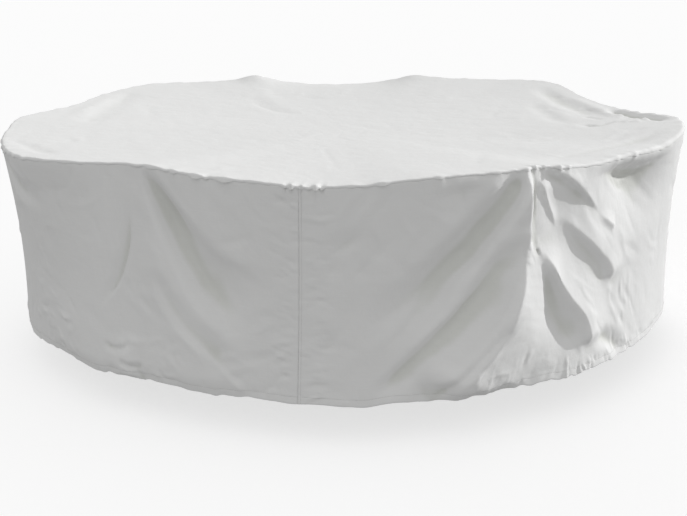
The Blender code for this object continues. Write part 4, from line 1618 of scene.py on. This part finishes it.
@dataclass
class Stitching:
    """All rows of machine stitches, set along lines on the cloth by Geometry Nodes.

    Attributes:
        drape: The surface that the lines lie on.
        length: Length of one stitch.
        gap: Gap to the next one.
        radius: Radius of the thread.
        sides: Sides of the thread.
        stand: How far a thread's middle stands off the cloth.
        step: Distance between two points of a line.
        inset: Where a seam's lines start and end, as a share of the drop from either end.
        seam_offset: How far they lie from the seam, as a share of the lap.
        jitter: Largest turn of a stitch away from its line, in radians.
        seed: Seed of those turns.
        name: Name of the piece.
        piece: The stitches, once they are built.
    """

    drape: Drape
    length: float = 0.0030
    gap: float = 0.0016
    radius: float = 0.00035
    sides: int = 5
    stand: float = 0.0002
    step: float = 0.006
    inset: float = 0.004
    seam_offset: float = 0.75
    jitter: float = 0.06
    seed: int = 5
    name: str = "stitching"
    piece: bpy.types.Object = field(init=False)

    def seam_line(self, place: float, lift: float) -> np.ndarray:
        """Lays a line of stitches down the skirt.

        Args:
            place: Its place along the rim.
            lift: How far the cloth stands out there.

        Returns:
            The line's points.
        """
        count = round(self.drape.drop / self.step)
        share = np.linspace(self.inset, 1.0 - self.inset, count)
        along = np.full(count, place)
        return self.drape.skirt(along, share) + self.drape.outward(along) * (lift + self.stand)

    def hem_line(self, height: float, lift: float) -> np.ndarray:
        """Lays a line of stitches all round the skirt.

        Args:
            height: Its height above the hem.
            lift: How far the cloth stands out there.

        Returns:
            The line's points.
        """
        count = round(self.drape.round / self.step)
        along = np.linspace(-self.drape.round / 2, self.drape.round / 2, count)
        share = np.full(count, 1.0 - height / self.drape.drop)
        return self.drape.skirt(along, share) + self.drape.outward(along) * (lift + self.stand)

    def lines(self, skirt: SkirtPanel) -> list[np.ndarray]:
        """Lays all lines: two at each seam and one round the hem.

        Args:
            skirt: A skirt panel, for the places of its seams and hem.

        Returns:
            Each line's points.
        """
        offset = skirt.lap * self.seam_offset
        back = self.drape.round / 2
        lift = skirt.lap_lift
        places = (-offset, offset, back - offset, back + offset)
        rows = [self.seam_line(place, lift) for place in places]
        rows.append(self.hem_line(skirt.hem_height, -skirt.groove))
        return rows

    def tree(self, material: bpy.types.Material) -> tuple[bpy.types.NodeTree, dict[str, str]]:
        """Builds the node tree that turns lines into stitches.

        Args:
            material: The thread's material.

        Returns:
            The tree, and its named inputs' identifiers.
        """
        graph = Graph(bpy.data.node_groups.new("stitches_along_lines", "GeometryNodeTree"))
        face = graph.tree.interface
        face.new_socket("Geometry", in_out="INPUT", socket_type="NodeSocketGeometry")
        named = {}
        for label in ("Pitch", "Length", "Radius"):
            socket = face.new_socket(label, in_out="INPUT", socket_type="NodeSocketFloat")
            named[label] = socket.identifier
        face.new_socket("Geometry", in_out="OUTPUT", socket_type="NodeSocketGeometry")
        given = graph.node("NodeGroupInput").outputs
        curve = graph.node("GeometryNodeMeshToCurve", None, {"Mesh": given["Geometry"]})
        inputs = {"Curve": curve.outputs["Curve"], "Length": given["Pitch"]}
        spots = graph.node("GeometryNodeResampleCurve", {"mode": "LENGTH"}, inputs)
        inputs = {"Depth": given["Length"], "Radius": given["Radius"]}
        inputs |= {"Vertices": self.sides, "Side Segments": 1}
        thread = graph.node("GeometryNodeMeshCylinder", None, inputs)
        tangent = graph.node("GeometryNodeInputTangent").outputs["Tangent"]
        align = graph.node("FunctionNodeAlignRotationToVector", {"axis": "Z"}, {"Vector": tangent})
        inputs = {"Min": (-self.jitter,) * 3, "Max": (self.jitter,) * 3, "Seed": self.seed}
        jitter = graph.node("FunctionNodeRandomValue", {"data_type": "FLOAT_VECTOR"}, inputs)
        inputs = {"Rotation": align.outputs["Rotation"], "Rotate By": jitter.outputs["Value"]}
        turn = graph.node("FunctionNodeRotateRotation", None, inputs)
        inputs = {
            "Points": spots.outputs["Curve"],
            "Instance": thread.outputs["Mesh"],
            "Rotation": turn.outputs["Rotation"],
        }
        placed = graph.node("GeometryNodeInstanceOnPoints", None, inputs).outputs["Instances"]
        whole = graph.node("GeometryNodeRealizeInstances", None, {"Geometry": placed})
        inputs = {"Geometry": whole.outputs["Geometry"], "Material": material}
        painted = graph.node("GeometryNodeSetMaterial", None, inputs).outputs["Geometry"]
        graph.node("NodeGroupOutput", None, {"Geometry": painted})
        return graph.tree, named

    def build(self, skirt: SkirtPanel, material: bpy.types.Material) -> bpy.types.Object:
        """Builds the stitches.

        Args:
            skirt: A skirt panel, for the places of its seams and hem.
            material: The thread's material.

        Returns:
            The piece, one plain mesh.
        """
        mesh = bpy.data.meshes.new("stitch_lines")
        points: list[list[float]] = []
        edges: list[tuple[int, int]] = []
        for line in self.lines(skirt):
            first = len(points)
            points.extend(line.tolist())
            edges.extend((first + i, first + i + 1) for i in range(len(line) - 1))
        mesh.from_pydata(points, edges, [])
        guide = add_object("stitch_lines", mesh)
        tree, named = self.tree(material)
        modifier = guide.modifiers.new("stitches", "NODES")
        modifier.node_group = tree
        modifier[named["Pitch"]] = self.length + self.gap
        modifier[named["Length"]] = self.length
        modifier[named["Radius"]] = self.radius
        depsgraph = bpy.context.evaluated_depsgraph_get()
        plain = bpy.data.meshes.new_from_object(guide.evaluated_get(depsgraph))
        guide.modifiers.remove(modifier)
        bpy.data.objects.remove(guide)
        plain.name = self.name
        plain.shade_smooth()
        self.piece = add_object(self.name, plain)
        return self.piece

    def dress(self) -> None:
        """Says what the stitches ride on."""
        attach(self.piece, BODY)


# ---------------------------------------------------------------- the cover


@dataclass
class Cover:
    """The whole cover: top, two skirt halves and their stitching.

    Attributes:
        top_cut: Length and width of the flat oval that the top is cut from; not used.
        top_area: Area of that oval; not used.
        skirt_cut: Length and height of the flat strip that one skirt half is cut from; not used.
        left_zones: Spacing of the left half's columns; its last zone ends at the back seam.
        right_zones: Spacing of the right half's columns, likewise.
        drape: The surface on which all of it lies.
    """

    top_cut: tuple[float, float] = (2.76, 2.16)
    top_area: float = 4.45
    skirt_cut: tuple[float, float] = (3.78, 0.82)
    left_zones: tuple[Zone, ...] = (Zone(1.36, 0.0070), Zone(math.inf, 0.0125))
    right_zones: tuple[Zone, ...] = (Zone(0.70, 0.0072), Zone(1.40, 0.0052), Zone(math.inf, 0.0135))
    drape: Drape = field(default_factory=Drape)

    def skirt_half(self, half: Half, zones: tuple[Zone, ...]) -> SkirtPanel:
        """Prepares one half of the skirt.

        Args:
            half: Which half.
            zones: Its columns' spacing.

        Returns:
            The panel, not built yet.
        """
        side = half.name.lower()
        whole = tuple(Zone(min(zone.reach, self.drape.round / 2), zone.spacing) for zone in zones)
        return SkirtPanel(f"skirt_cloth_{side}", f"skirt_{side}", self.drape, half, whole)

    def build(self) -> list[bpy.types.Object]:
        """Builds and dresses every piece.

        Returns:
            The pieces.
        """
        cloth = ClothFinish().build("coated_polyester")
        thread = ThreadFinish().build("sewing_thread")
        left = self.skirt_half(Half.LEFT, self.left_zones)
        right = self.skirt_half(Half.RIGHT, self.right_zones)
        top = TopPanel("top_cloth", "top_panel", self.drape)
        stitches = Stitching(self.drape)
        for panel in (left, right, top):
            panel.build()
            panel.dress(cloth)
        stitches.build(right, thread)
        stitches.dress()
        return [left.piece, right.piece, top.piece, stitches.piece]


# ---------------------------------------------------------------- stage


@dataclass
class Studio:
    """Pale floor, soft light and the camera.

    Attributes:
        ground: Height of the floor in the cover's frame.
        sun_turn: Direction to the key light, in degrees from +X towards +Y.
        sun_height: Its height in degrees.
        sun_power: Its strength.
        sun_size: Its angular size in degrees, for soft shadow edges.
        sky: Brightness of the surroundings above.
        earth: Brightness of the surroundings below.
        horizon: Where the one turns into the other, as heights of a unit direction.
        floor_size: Length of the floor's sides, which is also how far the camera sees.
        floor_grey: The floor's own grey.
        floor_glow: How much light it gives off, so that it stays pale.
        floor_roughness: Its roughness.
        floor_gloss: Strength of its reflection.
        focal: Focal length in millimetres.
        sensor: Width of the camera's sensor in millimetres.
        pitch: How far the camera looks down, in radians.
        eye: The camera's place in the cover's frame.
    """

    ground: float = -0.858
    sun_turn: float = 20.0
    sun_height: float = 22.0
    sun_power: float = 2.45
    sun_size: float = 1.0
    sky: float = 0.880
    earth: float = 0.450
    horizon: tuple[float, float] = (-0.25, 0.05)
    floor_size: float = 400.0
    floor_grey: float = 0.50
    floor_glow: float = 0.61
    floor_roughness: float = 0.9
    floor_gloss: float = 0.1
    focal: float = 55.0218
    sensor: float = 36.0
    pitch: float = 0.323654
    eye: tuple[float, float, float] = (0.0, -4.25, 0.8791556)

    def build(self) -> None:
        """Builds floor, lights and camera."""
        self.add_floor()
        self.add_world()
        self.add_sun()
        self.add_camera()
        bpy.context.scene.view_settings.view_transform = "Standard"

    def add_floor(self) -> None:
        """Adds the pale floor, which neither lights the cover nor shows in it."""
        mesh = bpy.data.meshes.new("floor")
        maker = bmesh.new()
        bmesh.ops.create_grid(maker, x_segments=1, y_segments=1, size=self.floor_size / 2)
        bmesh.ops.translate(maker, verts=maker.verts, vec=(0.0, 0.0, self.ground))
        maker.to_mesh(mesh)
        maker.free()
        floor = add_object("floor", mesh)
        material, graph = new_material("pale_floor")
        graph.surface({
            "Base Color": (self.floor_grey, self.floor_grey, self.floor_grey, 1.0),
            "Roughness": self.floor_roughness,
            "Specular IOR Level": self.floor_gloss,
            "Emission Color": (1.0, 1.0, 1.0, 1.0),
            "Emission Strength": self.floor_glow,
        })
        mesh.materials.append(material)
        floor.visible_diffuse = False
        floor.visible_glossy = False
        floor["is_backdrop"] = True

    def add_world(self) -> None:
        """Adds the surroundings, bright above and darker below."""
        world = bpy.data.worlds.new("studio")
        bpy.context.scene.world = world
        world.use_nodes = True
        graph = Graph(world.node_tree)
        place = graph.node("ShaderNodeTexCoord").outputs["Generated"]
        parts = graph.node("ShaderNodeSeparateXYZ", None, {"Vector": place})
        low, high = self.horizon
        inputs = {
            "Value": parts.outputs["Z"],
            "From Min": low,
            "From Max": high,
            "To Min": self.earth,
            "To Max": self.sky,
        }
        shade = graph.node("ShaderNodeMapRange", {"interpolation_type": "SMOOTHSTEP"}, inputs)
        light = graph.node("ShaderNodeBackground", None, {"Strength": shade.outputs["Result"]})
        graph.node("ShaderNodeOutputWorld", None, {"Surface": light.outputs["Background"]})

    def add_sun(self) -> None:
        """Adds the key light from behind on the right, for the cover alone."""
        turn, height = math.radians(self.sun_turn), math.radians(self.sun_height)
        towards = Vector((
            math.cos(turn) * math.cos(height),
            math.sin(turn) * math.cos(height),
            math.sin(height),
        ))
        light = bpy.data.lights.new("key", "SUN")
        light.energy = self.sun_power
        light.angle = math.radians(self.sun_size)
        sun = add_object("key", light)
        sun.rotation_euler = towards.to_track_quat("Z", "Y").to_euler()
        lit = bpy.data.collections.new("lit_by_key")
        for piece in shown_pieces():
            lit.objects.link(piece)
        sun.light_linking.receiver_collection = lit

    def add_camera(self) -> None:
        """Adds the camera at the photograph's angle."""
        lens = bpy.data.cameras.new("camera")
        lens.sensor_fit = "HORIZONTAL"
        lens.sensor_width = self.sensor
        lens.lens = self.focal
        lens.clip_end = self.floor_size
        camera = add_object("camera", lens)
        camera.location = self.eye
        camera.rotation_euler = (math.pi / 2 - self.pitch, 0.0, 0.0)
        bpy.context.scene.camera = camera


def main() -> None:
    """Builds the cover and its stage, and reports each piece."""
    logging.basicConfig(level=logging.INFO, format="%(message)s")
    for piece in Cover().build():
        LOG.info("%s: %d points", piece.name, len(piece.data.vertices))
    Studio().build()
    LOG.info("floor, lights and camera are in place")


if __name__ == "__main__":
    main()
